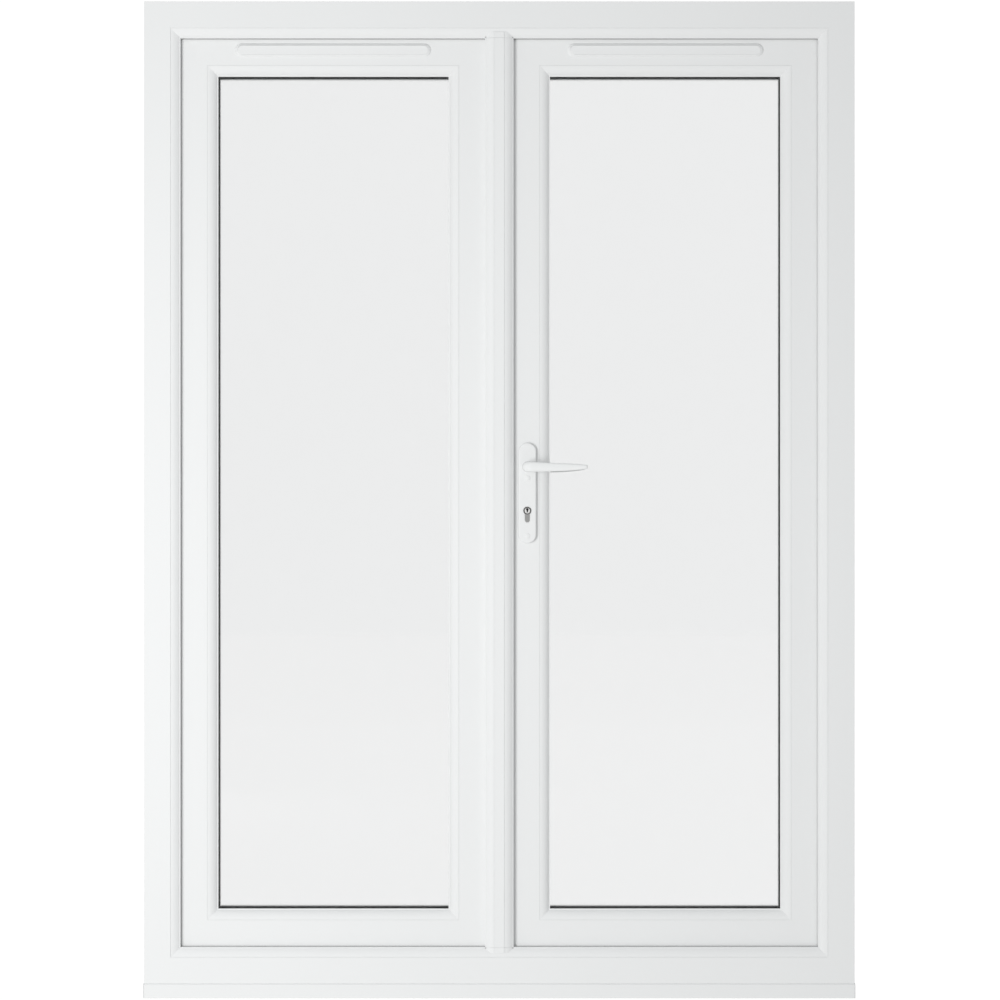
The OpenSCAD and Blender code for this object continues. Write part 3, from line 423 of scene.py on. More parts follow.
# holes for the frame screws in the jambs, and for the shootbolts in the head and threshold
screw_zs = [m["pos_m"][2] + s * m["dims"]["spacing_y_mm"] * MM / 2
            for m in frame["record"]["mounts"] if m["name"].startswith("jamb_fixings_left")
            for s in (-1, 1)]
screw_hole_r, past = 4 * MM, 2 * MM
for side, x in (("left", jamb_low[0] - past), ("right", -jamb_low[0] - body_w - past)):
    tools = [lofted("tool", rod((x, 0, z), 0, body_w + 2 * past, screw_hole_r), white_plastic)
             for z in screw_zs]
    cut(frame_bars[side], *tools)
bolt_low, bolt_high = map(np.array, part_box("shootbolt_top"))
bolt_r = (bolt_high - bolt_low)[1] / 2
bolt_x, bolt_y = bolt_low[0] + bolt_r, (bolt_low[1] + bolt_high[1]) / 2
bolt_reach = 24 * MM
for side, z in (("top", jamb_high[2] - body_w - MM),
                ("bottom", jamb_low[2] + body_w - bolt_reach)):
    tool = lofted("tool", rod((bolt_x, bolt_y, z), 2, bolt_reach + MM, bolt_r + MM),
                  white_plastic)
    cut(frame_bars[side], tool)

# ------------------------------------------------------------------ leaf bars
# Two leaves of the same hollow bar, welded like the frame. The outside lap seals on the frame,
# the edge has a groove for the lock, and the outside glazing leg is curved like the frame.
ring_low, ring_high = map(np.array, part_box("master_hinge_stile"))
stile_w = (ring_high - ring_low)[0]
leaf_y0, leaf_y1 = ring_low[1], ring_high[1]
leaf_depth = leaf_y1 - leaf_y0
lock_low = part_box("master_lock_stile")[0]
lap, leg, groove_in, groove_w, groove_d = 18 * MM, 20 * MM, 16 * MM, 18 * MM, 11 * MM
bead_w = 22 * MM
leaf_corner = {1: (lock_low[0], ring_low[2]), -1: (-ring_high[0], ring_low[2])}
leaf_opposite = {1: (ring_high[0], ring_high[2]), -1: (-lock_low[0], ring_high[2])}


def leaf_outline():
    """The leaf's body with its lock groove, the lap outside it and the curved glazing leg."""
    flat = stile_w - curve_w - lip_w
    arc, lip = sculpted(flat)
    arc = np.stack([arc[:, 0], leaf_depth - arc[:, 1]], axis=1)
    rebate = leaf_depth - leg
    body = stile_w - bead_w
    front = [(0, rebate), (lap, rebate), (lap, groove_in + groove_w),
             (lap + groove_d, groove_in + groove_w), (lap + groove_d, groove_in), (lap, groove_in),
             (lap, 0), (body, 0), (body, rebate), (stile_w, rebate), (stile_w, leaf_depth - lip),
             (arc[-1, 0], leaf_depth - lip)]
    points = np.concatenate([front, arc[::-1], [(flat, leaf_depth), (0, leaf_depth)]])
    radii = np.zeros(len(points))
    radii[:11] = [x * MM for x in (0.6, 0.5, 0.4, 0.3, 0.3, 0.4, 1.0, 0.4, 0.4, 0.5, 0.7)]
    radii[-2:] = 0.35 * MM, 1.0 * MM
    return rounded(points, radii)


def upright(flat, y):
    """The points of an outline in X and Z at one depth."""
    return np.stack([flat[:, 0], np.full(len(flat), y), flat[:, 1]], axis=1)


outline = leaf_outline()
half_len, half_h = 44 * MM, 6 * MM  # of each slot for air behind a vent
leaf_names = {1: ("master", "master_leaf"), -1: ("slave", "slave_leaf")}
for sign, (leaf, body) in leaf_names.items():
    meeting = "master_lock_stile" if sign == 1 else "slave_meeting_stile"
    hinge_side, meet_side = ("right", "left") if sign == 1 else ("left", "right")
    for side, node in ((hinge_side, leaf + "_hinge_stile"), (meet_side, meeting),
                       ("top", leaf + "_top_rail"), ("bottom", leaf + "_bottom_rail")):
        bar = mitred_bar(node + "_moulded", side, leaf_corner[sign], leaf_opposite[sign], leaf_y0,
                         outline, white_plastic)
        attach(bar, body)
        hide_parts(node)
        if side == "top":
            slots = [o["box_m"] for o in frame["record"]["physics"]["openings"]
                     if o["name"].startswith(leaf + "_vent_slot")]
            tools = []
            for slot_box in slots:
                a, b = map(np.array, slot_box)
                middle = (a + b) / 2
                t = np.linspace(-math.pi / 2, math.pi / 2, 12)
                x = np.concatenate([half_len + half_h * np.cos(t), -half_len - half_h * np.cos(t)])
                z = np.concatenate([half_h * np.sin(t), -half_h * np.sin(t)])
                flat = np.stack([middle[0] + x, middle[2] + z], axis=1)
                ends = upright(flat, leaf_y0 - MM), upright(flat, leaf_y1 + MM)
                tools.append(lofted("tool", ends, white_plastic))
            cut(bar, *tools)
        elif node == "master_lock_stile":
            lock_stile = bar

# the lock stile is drilled for the spindle, the screws and the cylinder, and slotted for the lock
spindle_low, spindle_high = map(np.array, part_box("spindle"))
spindle_x, lever_z = (spindle_low[0] + spindle_high[0]) / 2, (spindle_low[2] + spindle_high[2]) / 2
barrel_low, barrel_high = map(np.array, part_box("key_barrel"))
body_low, body_high = map(np.array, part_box("cylinder_body"))
cylinder_r, foot_r = 8.5 * MM, 5 * MM
key_z = body_high[2] - cylinder_r
case_low, case_high = map(np.array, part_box("lock_case"))
plate_low, plate_high = map(np.array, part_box("backplate_room"))
screw_cap_r = 6 * MM
handle_screw_zs = [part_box("handle_screws")[k][2] + inwards
                   for k, inwards in ((0, screw_cap_r), (1, -screw_cap_r))]


def keyhole_outline(grow, count=28):
    """The section of a lock cylinder in X and Z: a circle that runs down into a narrow foot."""
    r, f = cylinder_r + grow, foot_r + grow
    start = math.asin(-math.sqrt(1 - (f / r) ** 2))
    top = np.linspace(start, math.pi - start, count)
    low = np.linspace(math.pi, 2 * math.pi, count // 2)
    foot_z = body_low[2] + foot_r - key_z
    x = np.concatenate([r * np.cos(top), f * np.cos(low)])
    z = np.concatenate([r * np.sin(top), foot_z + f * np.sin(low)])
    return np.stack([spindle_x + x, key_z + z], axis=1)


def along_y(outline, *places):
    """An outline in X and Z set at several depths, each with its own shrink towards a centre."""
    centre = outline.mean(axis=0)
    stations = []
    for y, shrink in places:
        size = np.ptp(outline, axis=0)
        stations.append(upright(centre + (outline - centre) * (1 - 2 * shrink / size), y))
    return stations


through = ((leaf_y0 - MM, 0), (leaf_y1 + MM, 0))
spindle_hole_r, bolt_hole_r, cylinder_play = 9 * MM, 3.5 * MM, 0.7 * MM
holes = [(lever_z, spindle_hole_r)] + [(z, bolt_hole_r) for z in handle_screw_zs]
tools = [lofted("tool", rod((spindle_x, leaf_y0 - MM, z), 1, leaf_depth + 2 * MM, r),
                white_plastic) for z, r in holes]
tools.append(lofted("tool", along_y(keyhole_outline(cylinder_play), *through), white_plastic))
pocket = case_low - MM, case_high + MM
pocket[0][0] = lock_low[0] + lap + groove_d - MM
corners = [(pocket[k][0], pocket[j][2]) for k, j in ((0, 0), (1, 0), (1, 1), (0, 1))]
tools.append(lofted("tool", along_y(np.array(corners), (pocket[0][1], 0), (pocket[1][1], 0)),
                    white_plastic))
cut(lock_stile, *tools)

# ------------------------------------------------------------------ glazing beads
# Four mitred beads clip in round each pane from the room side. They are rounded towards the
# glass, and end in a narrow lip on the seal.
bead_low, bead_high = map(np.array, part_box("master_beads"))
bead_t = bead_high[1] - bead_low[1]


def bead_outline():
    """The bead's convex curve, steeper and steeper, and the short lip that it ends in."""
    start = stile_w - bead_w + 0.15 * MM
    narrower = 2.4 * MM
    arc = moulding(start, 2, 54, bead_w - narrower, 0.0)
    lip = arc[-1, 1] + 0.3 * MM
    points = np.concatenate([arc, [(arc[-1, 0], lip), (stile_w, lip), (stile_w, bead_t),
                                   (start, bead_t)]])
    radii = np.zeros(len(points))
    radii[0] = 0.35 * MM
    radii[-3:] = 0.5 * MM, 0.3 * MM, 0.2 * MM
    return rounded(points, radii)


outline = bead_outline()
for sign, (leaf, body) in leaf_names.items():
    for k, side in enumerate(("left", "right", "bottom", "top")):
        bar = mitred_bar(f"{leaf}_bead_{side}", side, leaf_corner[sign], leaf_opposite[sign],
                         leaf_y0, outline, white_plastic, groove=0.12 * MM)
        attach(bar, body)
        if k == 0:
            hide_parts(leaf + "_beads")

# ------------------------------------------------------------------ mullion
# A plastic bar on the slave leaf's edge. Its room face is curved on both sides and laps over
# the master leaf; a hollow body behind it carries the keeps and the shootbolts.
mullion_low, mullion_high = map(np.array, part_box("mullion"))
face_half = mullion_high[0]
cap_low, cap_high = map(np.array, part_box("mullion_end_caps"))
block_low, block_high = map(np.array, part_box("mullion_end_blocks"))
mullion_x0, mullion_x1 = cap_low[0], cap_high[0]


def mullion_outline():
    """The room face with the frame's curve on both sides, and the hollow body behind its left."""
    flat = face_half - curve_w - lip_w
    arc, lip = sculpted(flat)
    right = np.concatenate([[(flat, 0)], arc, [(arc[-1, 0], lip), (face_half, lip)]])
    left = right[::-1] * (-1, 1)
    y_back = mullion_high[1] - mullion_low[1]
    face_back = leaf_y0 - mullion_low[1]
    back = [(face_half, flange_t), (mullion_x1, flange_t), (mullion_x1, y_back),
            (mullion_x0, y_back), (mullion_x0, face_back), (-face_half, face_back)]
    points = np.concatenate([left, right, back])
    radii = np.zeros(len(points))
    radii[0] = 0.7 * MM
    radii[len(left) - 1] = 0.35 * MM
    radii[len(left)] = 0.35 * MM
    radii[len(left) + len(right) - 1] = 0.7 * MM
    radii[len(left) + len(right):] = [r * MM for r in (0.5, 0.5, 0.6, 0.6, 0, 0.5)]
    return rounded(points, radii)


def level(flat, z):
    """The points of an outline, in X and in depth from the room face, at one height."""
    return np.stack([flat[:, 0], mullion_low[1] + flat[:, 1], np.full(len(flat), z)], axis=1)


outline = mullion_outline()
end_block_len = 12 * MM
face_z = (block_low[2] + end_block_len, block_high[2] - end_block_len)
mullion = lofted("mullion_moulded", [level(outline, z) for z in face_z], white_plastic)

# pockets for the latch and the dead bolt, as deep as each one's throw
tools = []
for bolt, joint_name in (("latch_bolt", "latch_slide"), ("dead_bolt", "deadbolt_slide")):
    throw = max(j["range_m"][1] for j in frame["record"]["behaviour"]["joints"]
                if j["name"] == joint_name)
    a, b = map(np.array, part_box(bolt))
    a, b = a - (throw + MM, MM, MM), b + (0, MM, MM)
    corners = np.array([(a[0], a[2]), (b[0], a[2]), (b[0], b[2]), (a[0], b[2])])
    tools.append(lofted("tool", along_y(corners, (a[1], 0), (b[1], 0)), white_plastic))
cut(mullion, *tools)
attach(mullion, "slave_leaf")
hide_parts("mullion")


def block(name, low_corner, high_corner, material, radius=0.6 * MM, axis=1):
    """A box whose four edges along one axis are round, and whose ends are slightly drawn in."""
    low_corner, high_corner = np.array(low_corner, float), np.array(high_corner, float)
    p, q = [k for k in range(3) if k != axis]
    corners = [(low_corner[p], low_corner[q]), (high_corner[p], low_corner[q]),
               (high_corner[p], high_corner[q]), (low_corner[p], high_corner[q])]
    shape = rounded(corners, [radius] * 4)
    centre = shape.mean(axis=0)
    span = (np.array(corners[2]) - corners[0])
    lead_in = 0.3 * MM
    draw = 1 - 2 * min(0.25 * radius, lead_in) / span
    stations = []
    for where, scale in ((low_corner[axis], draw), (low_corner[axis] + lead_in, 1),
                         (high_corner[axis] - lead_in, 1), (high_corner[axis], draw)):
        ring = np.empty((len(shape), 3))
        flat = centre + (shape - centre) * scale
        ring[:, p], ring[:, q], ring[:, axis] = flat[:, 0], flat[:, 1], where
        stations.append(ring)
    return lofted(name, stations, material)


# the body runs on past the face, in the rebates of the head and the threshold
for k, (z0, z1) in enumerate(((mullion_low[2], face_z[0]), (face_z[1], mullion_high[2]))):
    stub = block(f"mullion_stub_{k}", (mullion_x0, leaf_y0, z0), (mullion_x1, mullion_high[1], z1),
                 white_plastic, axis=2)
    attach(stub, "slave_leaf")
paint(white_plastic, "mullion_end_caps")

# two short fixed lengths carry the face on over the sculptured edge of the frame
face_line = outline[outline[:, 1] < flange_t - 1.5 * MM]
face_line = np.concatenate([face_line, [(face_half, flange_t), (-face_half, flange_t)]])
joint = 0.25 * MM
spans = (block_low[2], face_z[0] - joint), (face_z[1] + joint, block_high[2])
for k, (z0, z1) in enumerate(spans):
    rings = level(face_line, z0), level(face_line, z1)
    piece = lofted(f"mullion_end_block_{k}", rings, white_plastic)
    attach(piece, "frame")
    if k == 0:
        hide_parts("mullion_end_blocks")

# ------------------------------------------------------------------ cill
# A hollow plastic cill under the frame. It falls away outside to a nose that sheds the rain, and
# a thin cap closes each end.
cill_low, cill_high = map(np.array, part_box("cill"))
caps_low, caps_high = map(np.array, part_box("cill_end_caps"))


def cill_outline():
    """A flat top under the frame that falls to six tenths of the height at the nose."""
    depth, height = (cill_high - cill_low)[1:]
    slope_start = jamb_high[1] - cill_low[1] + 3 * MM
    tip = 0.6 * height
    corners = [(0, 0), (depth, 0), (depth, tip), (slope_start, height), (0, height)]
    return rounded(corners, [x * MM for x in (1.0, 2.4, 3.0, 6.0, 2.5)], steps=6)


outline = cill_outline()


def along_x(name, outline, x0, x1, draw, material):
    """An outline in Y and Z carried along X, drawn in a little at both ends."""
    centre = outline.mean(axis=0)
    half_size = 0.03  # about as far as an end's outline is from its middle
    stations = []
    for x, inwards in ((x0, draw), (x0 + draw, 0), (x1 - draw, 0), (x1, draw)):
        shape = outline + (centre - outline) * inwards / half_size
        stations.append(np.column_stack([np.full(len(shape), x), shape]))
    return lofted(name, stations, material)


cill = along_x("cill_moulded", outline + cill_low[1:], cill_low[0], cill_high[0], 0.0001,
               white_plastic)
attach(cill, "frame")
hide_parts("cill")
for k, (x0, x1) in enumerate(((caps_low[0], cill_low[0]), (cill_high[0], caps_high[0]))):
    cap = along_x(f"cill_cap_{k}", outline + cill_low[1:], x0, x1, 0.0004, white_plastic)
    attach(cap, "frame")
    if k == 0:
        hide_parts("cill_end_caps")


# ------------------------------------------------------------------ glass
# Each unit is two panes of clear float glass on a black spacer, bedded on black rubber seals and
# held off the bars by plastic packers.
def coated_glass():
    """Clear glass: light goes straight on through for shadows, and bends and reflects for sight."""
    material = bpy.data.materials.new("clear_glass")
    material.use_nodes = True
    nodes, links = material.node_tree.nodes, material.node_tree.links
    shader = nodes["Principled BSDF"]
    shader.inputs["Base Color"].default_value = (0.910, 0.912, 0.912, 1)
    shader.inputs["Transmission Weight"].default_value = 1.0
    shader.inputs["IOR"].default_value = 1.5
    mottle = nodes.new("ShaderNodeGroup")
    mottle.node_tree = skin_mottle
    mottle.inputs["Slow Scale"].default_value = 1.4
    haze = nodes.new("ShaderNodeMapRange")
    haze.inputs["To Max"].default_value = 0.03
    links.new(mottle.outputs["Slow"], haze.inputs["Value"])
    links.new(haze.outputs["Result"], shader.inputs["Roughness"])
    clear = nodes.new("ShaderNodeBsdfTransparent")
    clear.inputs["Color"].default_value = (0.93, 0.95, 0.94, 1)
    path = nodes.new("ShaderNodeLightPath")
    mix = nodes.new("ShaderNodeMixShader")
    links.new(path.outputs["Is Shadow Ray"], mix.inputs["Fac"])
    links.new(shader.outputs["BSDF"], mix.inputs[1])
    links.new(clear.outputs["BSDF"], mix.inputs[2])
    links.new(mix.outputs["Shader"], nodes["Material Output"].inputs["Surface"])
    return material


paint(coated_glass(), "master_panes", "slave_panes")
# black for the rubber seals; the same black also paints shade in the gap round the lock's plug,
# deep in its keyway and as the thin line along the frame's edge
black_rubber = finish("black_rubber", (0.012, 0.012, 0.013), (0.028, 0.028, 0.03), (0.6, 0.8),
                      (0.35, 0.0004), (40.0, 1400.0, 1.0), specular=0.06)
black_spacer = finish("black_spacer", (0.018, 0.018, 0.019), (0.03, 0.03, 0.031), (0.6, 0.75),
                      (0.3, 0.0003), (60.0, 900.0, 1.0), specular=0.0)
paint(black_rubber, "master_seals", "slave_seals")

# the seal behind the frame's edge is real, but on the left, top and bottom it bulges past the
# plastic so that its black paints the thin line of shade the lip casts under the light from the
# left; on the right, which is lit, and behind the mullion's edge, it stays a little back
seal_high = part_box("frame_seal")[1]
seal_v0, seal_v1 = seal_low[1] - jamb_low[1], seal_high[1] - jamb_low[1]
for side, shade_line_bulge in (("left", 0.2), ("top", 0.25), ("bottom", 0.2), ("right", -0.6)):
    corners = [(frame_face - 6 * MM, seal_v0), (frame_face + shade_line_bulge * MM, seal_v0 + 0.2 * MM),
               (frame_face + shade_line_bulge * MM, seal_v1), (frame_face - 6 * MM, seal_v1)]
    seal = mitred_bar("frame_seal_" + side, side, frame_low, frame_high, jamb_low[1],
                      rounded(corners, [0.3 * MM] * 4), black_rubber, groove=0.02 * MM)
    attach(seal, "frame")
    if side == "left":
        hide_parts("frame_seal")
# a black seal behind the mullion's edge, kept a little back, darkens the gap there: a seal, and
# painted shade as well
seal = block("mullion_seal", (face_half - 4 * MM, jamb_low[1] + seal_v0 + 0.02 * MM, face_z[0]),
             (face_half - 0.3 * MM, jamb_low[1] + seal_v1, face_z[1]), black_rubber, axis=2,
             radius=0.3 * MM)
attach(seal, "slave_leaf")
paint(black_spacer, "master_spacer", "slave_spacer", "master_packers", "slave_packers")


# ------------------------------------------------------------------ trickle vents
# A flat flap with round ends sits in a raised surround on each top rail and tilts at its foot
# to let air through the slots. Outside, a canopy open underneath keeps the rain off.
def oval(length, height, count=20):
    """A flat-sided oval in X and Z about nought, from two half circles."""
    r = height / 2
    t = np.linspace(-math.pi / 2, math.pi / 2, count)
    x = np.concatenate([length / 2 - r + r * np.cos(t), -length / 2 + r - r * np.cos(t)])
    z = np.concatenate([r * np.sin(t), -r * np.sin(t)])
    return np.stack([x, z], axis=1)


def oval_path(name, centre, y0, sign, steps, material, closed):
    """Ovals of the lengths, heights and depths in steps joined in turn; closed makes a ring."""
    rings = []
    for length, height, depth in steps:
        rings.append(upright(centre + oval(length, height), y0 + sign * depth))
    if not closed:
        return lofted(name, rings, material)
    rings = np.array(rings)
    rows, n = rings.shape[:2]
    i, j = np.meshgrid(np.arange(n), np.arange(rows))
    faces = np.stack([i + j * n, (i + 1) % n + j * n, (i + 1) % n + (j + 1) % rows * n,
                      i + (j + 1) % rows * n], axis=-1).reshape(-1, 4)
    return solid(name, rings.reshape(-1, 3), faces.tolist(), material)


def softened(node, body, material, width=0.5 * MM):
    """A CAD node's shape with its doubles merged and its edges rounded over."""
    near, flat_angle, edge_angle = 2e-6, math.radians(1), math.radians(40)
    mesh = bpy.data.objects[node].data.copy()
    mesh.name = node + "_finished"
    work = bmesh.new()
    work.from_mesh(mesh)
    bmesh.ops.remove_doubles(work, verts=work.verts, dist=near)
    bmesh.ops.dissolve_limit(work, angle_limit=flat_angle, verts=work.verts, edges=work.edges)
    bmesh.ops.recalc_face_normals(work, faces=work.faces)
    work.to_mesh(mesh)
    work.free()
    mesh.materials.clear()
    mesh.materials.append(material)
    shade(mesh)
    piece = bpy.data.objects.new(node + "_finished", mesh)
    scene.collection.objects.link(piece)
    round_over = piece.modifiers.new("round_over", "BEVEL")
    round_over.width = width
    round_over.segments = 2
    round_over.limit_method = "ANGLE"
    round_over.angle_limit = edge_angle
    round_over.harden_normals = True
    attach(piece, body)
    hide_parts(node)


# each ring of the surround and the flap: how far in from the edge, and how far out
surround_shape = [(0, 0), (0.05, 0.3), (0.9, 1.5), (2.0, 2.6), (3.3, 3.6), (4.6, 4.4), (5.3, 4.65),
                  (5.7, 4.5), (5.95, 4.1), (6.0, 2.5), (6.0, 0)]
flap_shape = [(1.0, 0.0), (0.2, 0.3), (0, 0.9), (0, 1.7), (0.25, 2.1), (0.8, 2.38), (2.0, 2.5),
              (3.2, 2.42), (3.8, 2.2), (4.6, 2.2)]
rim_above, rim_beside = 4.0, 6.0
longer, higher, lower = 0.95, 0.45, 0.25
for sign, (leaf, body) in leaf_names.items():
    flap_low, flap_high = map(np.array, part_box(leaf + "_vent_flap"))
    base_low, base_high = map(np.array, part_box(leaf + "_vent_base"))
    middle = (flap_low + flap_high) / 2
    centre = middle[0], middle[2]
    long_base, high_base = (base_high - base_low)[[0, 2]]
    long_flap, high_flap = (flap_high - flap_low)[[0, 2]]
    steps = [(long_base - 2 * a * MM, high_base - 2 * a * MM * rim_above / rim_beside, b * MM)
             for a, b in surround_shape]
    base = oval_path(leaf + "_vent_surround", centre, leaf_y0, -1, steps, white_plastic, True)
    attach(base, body)
    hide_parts(leaf + "_vent_base")
    steps = [(long_flap + (longer - 2 * a) * MM, high_flap + (higher - 2 * a) * MM, b * MM)
             for a, b in flap_shape]
    seat = centre[0], centre[1] - lower * MM
    flap = oval_path(leaf + "_vent_flap_moulded", seat, flap_high[1], -1, steps, white_plastic,
                     False)
    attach(flap, leaf + "_vent_flap")
    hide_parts(leaf + "_vent_flap")
    softened(leaf + "_vent_hood", body, white_plastic, 0.7 * MM)

# ------------------------------------------------------------------ hinges and steel fittings
# Flag hinges of powder coated steel, three a side, on bright pins. The lock strip, its rail with
# the rollers, the keeps and the shootbolts are plain bright steel; the boxes inside the bars and
# the lock case are galvanised.
white_metal = finish("white_metal", (0.84, 0.855, 0.852), (0.865, 0.88, 0.875), (0.33, 0.42),
                     (0.22, 0.0003), (9.0, 700.0, 1.0))
bright_steel = finish("bright_steel", (0.52, 0.53, 0.54), (0.68, 0.69, 0.70), (0.22, 0.36),
                      (0.25, 0.0002), (30.0, 1100.0, 0.03), metallic=1.0)
zinc_steel = finish("zinc_steel", (0.42, 0.44, 0.45), (0.62, 0.64, 0.66), (0.34, 0.5),
                    (0.3, 0.0004), (55.0, 260.0, 1.0), metallic=1.0)
nickel = finish("nickel", (0.56, 0.555, 0.545), (0.66, 0.655, 0.64), (0.26, 0.38),
                (0.2, 0.0002), (80.0, 1500.0, 0.2), metallic=1.0)
for node, body in (("hinge_frame_plates", "frame"), ("master_hinge_plates", "master_leaf"),
                   ("slave_hinge_plates", "slave_leaf")):
    softened(node, body, white_metal)
for node, body, width in (
        ("hinge_pins", "frame", 0.4), ("shootbolt_keeps", "frame", 0.3),
        ("mullion_keeps", "slave_leaf", 0.3), ("lock_faceplate", "master_leaf", 0.25),
        ("shootbolt_top", "shootbolt_top", 0.4), ("shootbolt_bottom", "shootbolt_bottom", 0.4),
        ("latch_bolt", "latch_bolt", 0.5), ("dead_bolt", "dead_bolt", 0.5),
        ("drive_rail", "drive_rail", 0.25)):
    softened(node, body, bright_steel, width * MM)
paint(bright_steel, "lock_follower", "spindle")
paint(zinc_steel, "frame_steel", "master_steel", "slave_steel", "lock_case")

# ------------------------------------------------------------------ handle plates
# A white plate with full round ends on each face of the lock stile. Its edge rolls over to a
# flat top, a low collar holds the lever, and two screws under white caps go right through.
leaf_mid_y = (leaf_y0 + leaf_y1) / 2


def other_side(points):
    """The same points on the outside of the leaf: turned over in the leaf's middle plane."""
    points = np.array(points)
    points[..., 1] = 2 * leaf_mid_y - points[..., 1]
    return points


plate_long, plate_wide = (plate_high - plate_low)[[2, 0]]
plate_mid = (plate_low[2] + plate_high[2]) / 2
plate_shape = [(0, 0), (0, 6.4), (0.12, 7.4), (0.5, 8.4), (1.15, 9.2), (2.0, 9.7), (3.0, 9.9),
               (4.4, 9.96), (9.0, 10.0)]
collar_shape = [(12, 9.0), (12, 10.6), (11.8, 11.3), (11.3, 11.8), (10.6, 12.0), (9.4, 12.0),
                (9.1, 11.8), (9.1, 9.0)]
cap_shape = [(6, 9.5), (6, 10.2), (5.85, 10.5), (5.4, 10.85), (4.6, 11.15), (3.4, 11.36),
             (1.8, 11.47), (0.4, 11.5)]
neck_shape = [(9.3, -1.0), (9.3, 11.0)]
keyhole_play = 0.3 * MM


def plate_rings():
    """The plate's oval at each inset and depth of its shape, from the leaf to the flat top."""
    rings = []
    for inset, depth in plate_shape:
        flat = oval(plate_long - 2 * inset * MM, plate_wide - 2 * inset * MM)[:, ::-1] * (1, -1)
        rings.append(upright((spindle_x, plate_mid) + flat, leaf_y0 - depth * MM))
    return np.array(rings)


def turned(centre, steps, count=48, y0=leaf_y0, sign=-1):
    """Rings about the Y direction: each step is a radius and a distance from y0, in mm."""
    angle = np.linspace(0, 2 * math.pi, count, endpoint=False)
    rings = [np.stack([centre[0] + r * MM * np.cos(angle), np.full(count, y0 + sign * d * MM),
                       centre[1] + r * MM * np.sin(angle)], axis=1) for r, d in steps]
    return np.array(rings)


for place, turn in (("room", np.array), ("outside", other_side)):
    plate = lofted("plate_" + place, turn(plate_rings()), white_plastic)
    hole = along_y(keyhole_outline(keyhole_play), (leaf_y0 + MM, 0), (leaf_y0 - 12 * MM, 0))
    neck_hole = turned((spindle_x, lever_z), neck_shape)
    cut(plate, lofted("tool", turn(hole), white_plastic),
        lofted("tool", turn(neck_hole), white_plastic))
    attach(plate, "master_leaf")
    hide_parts("backplate_" + place)
    collar = lofted("collar_" + place, turn(turned((spindle_x, lever_z), collar_shape)),
                    white_plastic)
    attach(collar, "master_leaf")
    for k, z in enumerate(handle_screw_zs):
        cap = lofted(f"screw_cap_{place}_{k}", turn(turned((spindle_x, z), cap_shape, 36)),
                     white_plastic)
        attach(cap, "master_leaf")
screw_r, past = 2.5 * MM, 9 * MM
for k, z in enumerate(handle_screw_zs):
    shank = rod((spindle_x, leaf_y0 - past, z), 1, leaf_depth + 2 * past, screw_r)
    screw = lofted(f"through_screw_{k}", shank, bright_steel)
    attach(screw, "master_leaf")
    if k == 0:
        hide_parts("handle_screws")

# ------------------------------------------------------------------ levers
# A cast lever in white lacquer: a round neck bends into a grip that tapers to a round tip, with
# a slightly fuller underside. The two levers share one square spindle.
lever_low, lever_high = map(np.array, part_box("lever_room"))
tip_x = lever_high[0]


def lever_rings():
    """Sections square to a path: up the neck, round a quarter turn and out along the grip.

    Each section is a superellipse: its half height and half thickness go from the neck's circle
    to the grip's size, and shrink as a quarter circle over the last few millimetres."""
    t = np.linspace(0, 2 * math.pi, 48, endpoint=False)
    neck, head, bend, half_t, tip = 9.0, 11.2, 12.5, 4.5, 5.0
    root, thinning, power = 2.3, 0.7, 2.35
    grip = (leaf_y0 - lever_low[1]) / MM - half_t
    reach = (tip_x - spindle_x) / MM
    at_x = [0, 18, 47, 78, 108, 120]
    top_edge = np.poly1d(np.polyfit(at_x, [11.2, 9.7, 8.1, 7.1, 5.2, 4.4], 3))
    low_edge = np.poly1d(np.polyfit(at_x, [10.6, 10.2, 10.2, 9.1, 6.6, 5.3], 3))
    rings = []

    def section(high, low, thick, power):
        """The superellipse: sideways by thick, upwards by high and downwards by low."""
        c, s = np.cos(t), np.sin(t)
        side = np.sign(c) * np.abs(c) ** (2 / power) * thick
        up = np.sign(s) * np.abs(s) ** (2 / power)
        return side, np.where(up > 0, up * high, up * low)

    def place(x, d, turn, side, up):
        """Adds a section turned square to the path: side is away from the leaf on the grip."""
        px = spindle_x + (x - side * math.cos(turn)) * MM
        py = leaf_y0 - (d + side * math.sin(turn)) * MM
        rings.append(np.stack([px, py, lever_z + up * MM], axis=1))

    for d in np.linspace(root, grip - bend, 12):
        flare = (d - root) / (grip - bend - root)
        r = neck + (head - neck) * flare ** 3
        place(0, d, 0, *section(r, r, r, 2))
    for a in np.linspace(0, 1, 17)[1:]:
        turn = a * math.pi / 2
        ease = a * a * (3 - 2 * a)
        high, low = head + (top_edge(bend) - head) * ease, head + (low_edge(bend) - head) * ease
        place(bend * (1 - math.cos(turn)), grip - bend + bend * math.sin(turn), turn,
              *section(high, low, head + (half_t - head) * ease, 2 + 0.35 * ease))
    x = np.linspace(bend, reach - tip, 30)[1:]
    round_tip = reach - tip + tip * np.sin(np.linspace(0, math.pi / 2, 12))[1:]
    for at in np.concatenate([x, round_tip]):
        at_edge = min(at, reach - tip)
        shrink = math.sqrt(max(1 - (max(at - reach + tip, 0) / tip) ** 2, 1e-4))
        thick = (half_t - thinning * at_edge / reach) * (0.35 + 0.65 * shrink)
        place(at, grip, math.pi / 2,
              *section(top_edge(at_edge) * shrink, low_edge(at_edge) * shrink,
                       thick * shrink ** 0.5, power))
    return np.array(rings)


lacquer = finish("white_lacquer", (0.87, 0.88, 0.876), (0.888, 0.897, 0.893), (0.22, 0.3),
                 (0.08, 0.0001), (14.0, 800.0, 1.0), coat=0.3)
for place, turn in (("room", np.array), ("outside", other_side)):
    lever = lofted("lever_" + place + "_cast", turn(lever_rings()), lacquer, smooth=60)
    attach(lever, "lever_set")
    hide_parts("lever_" + place)
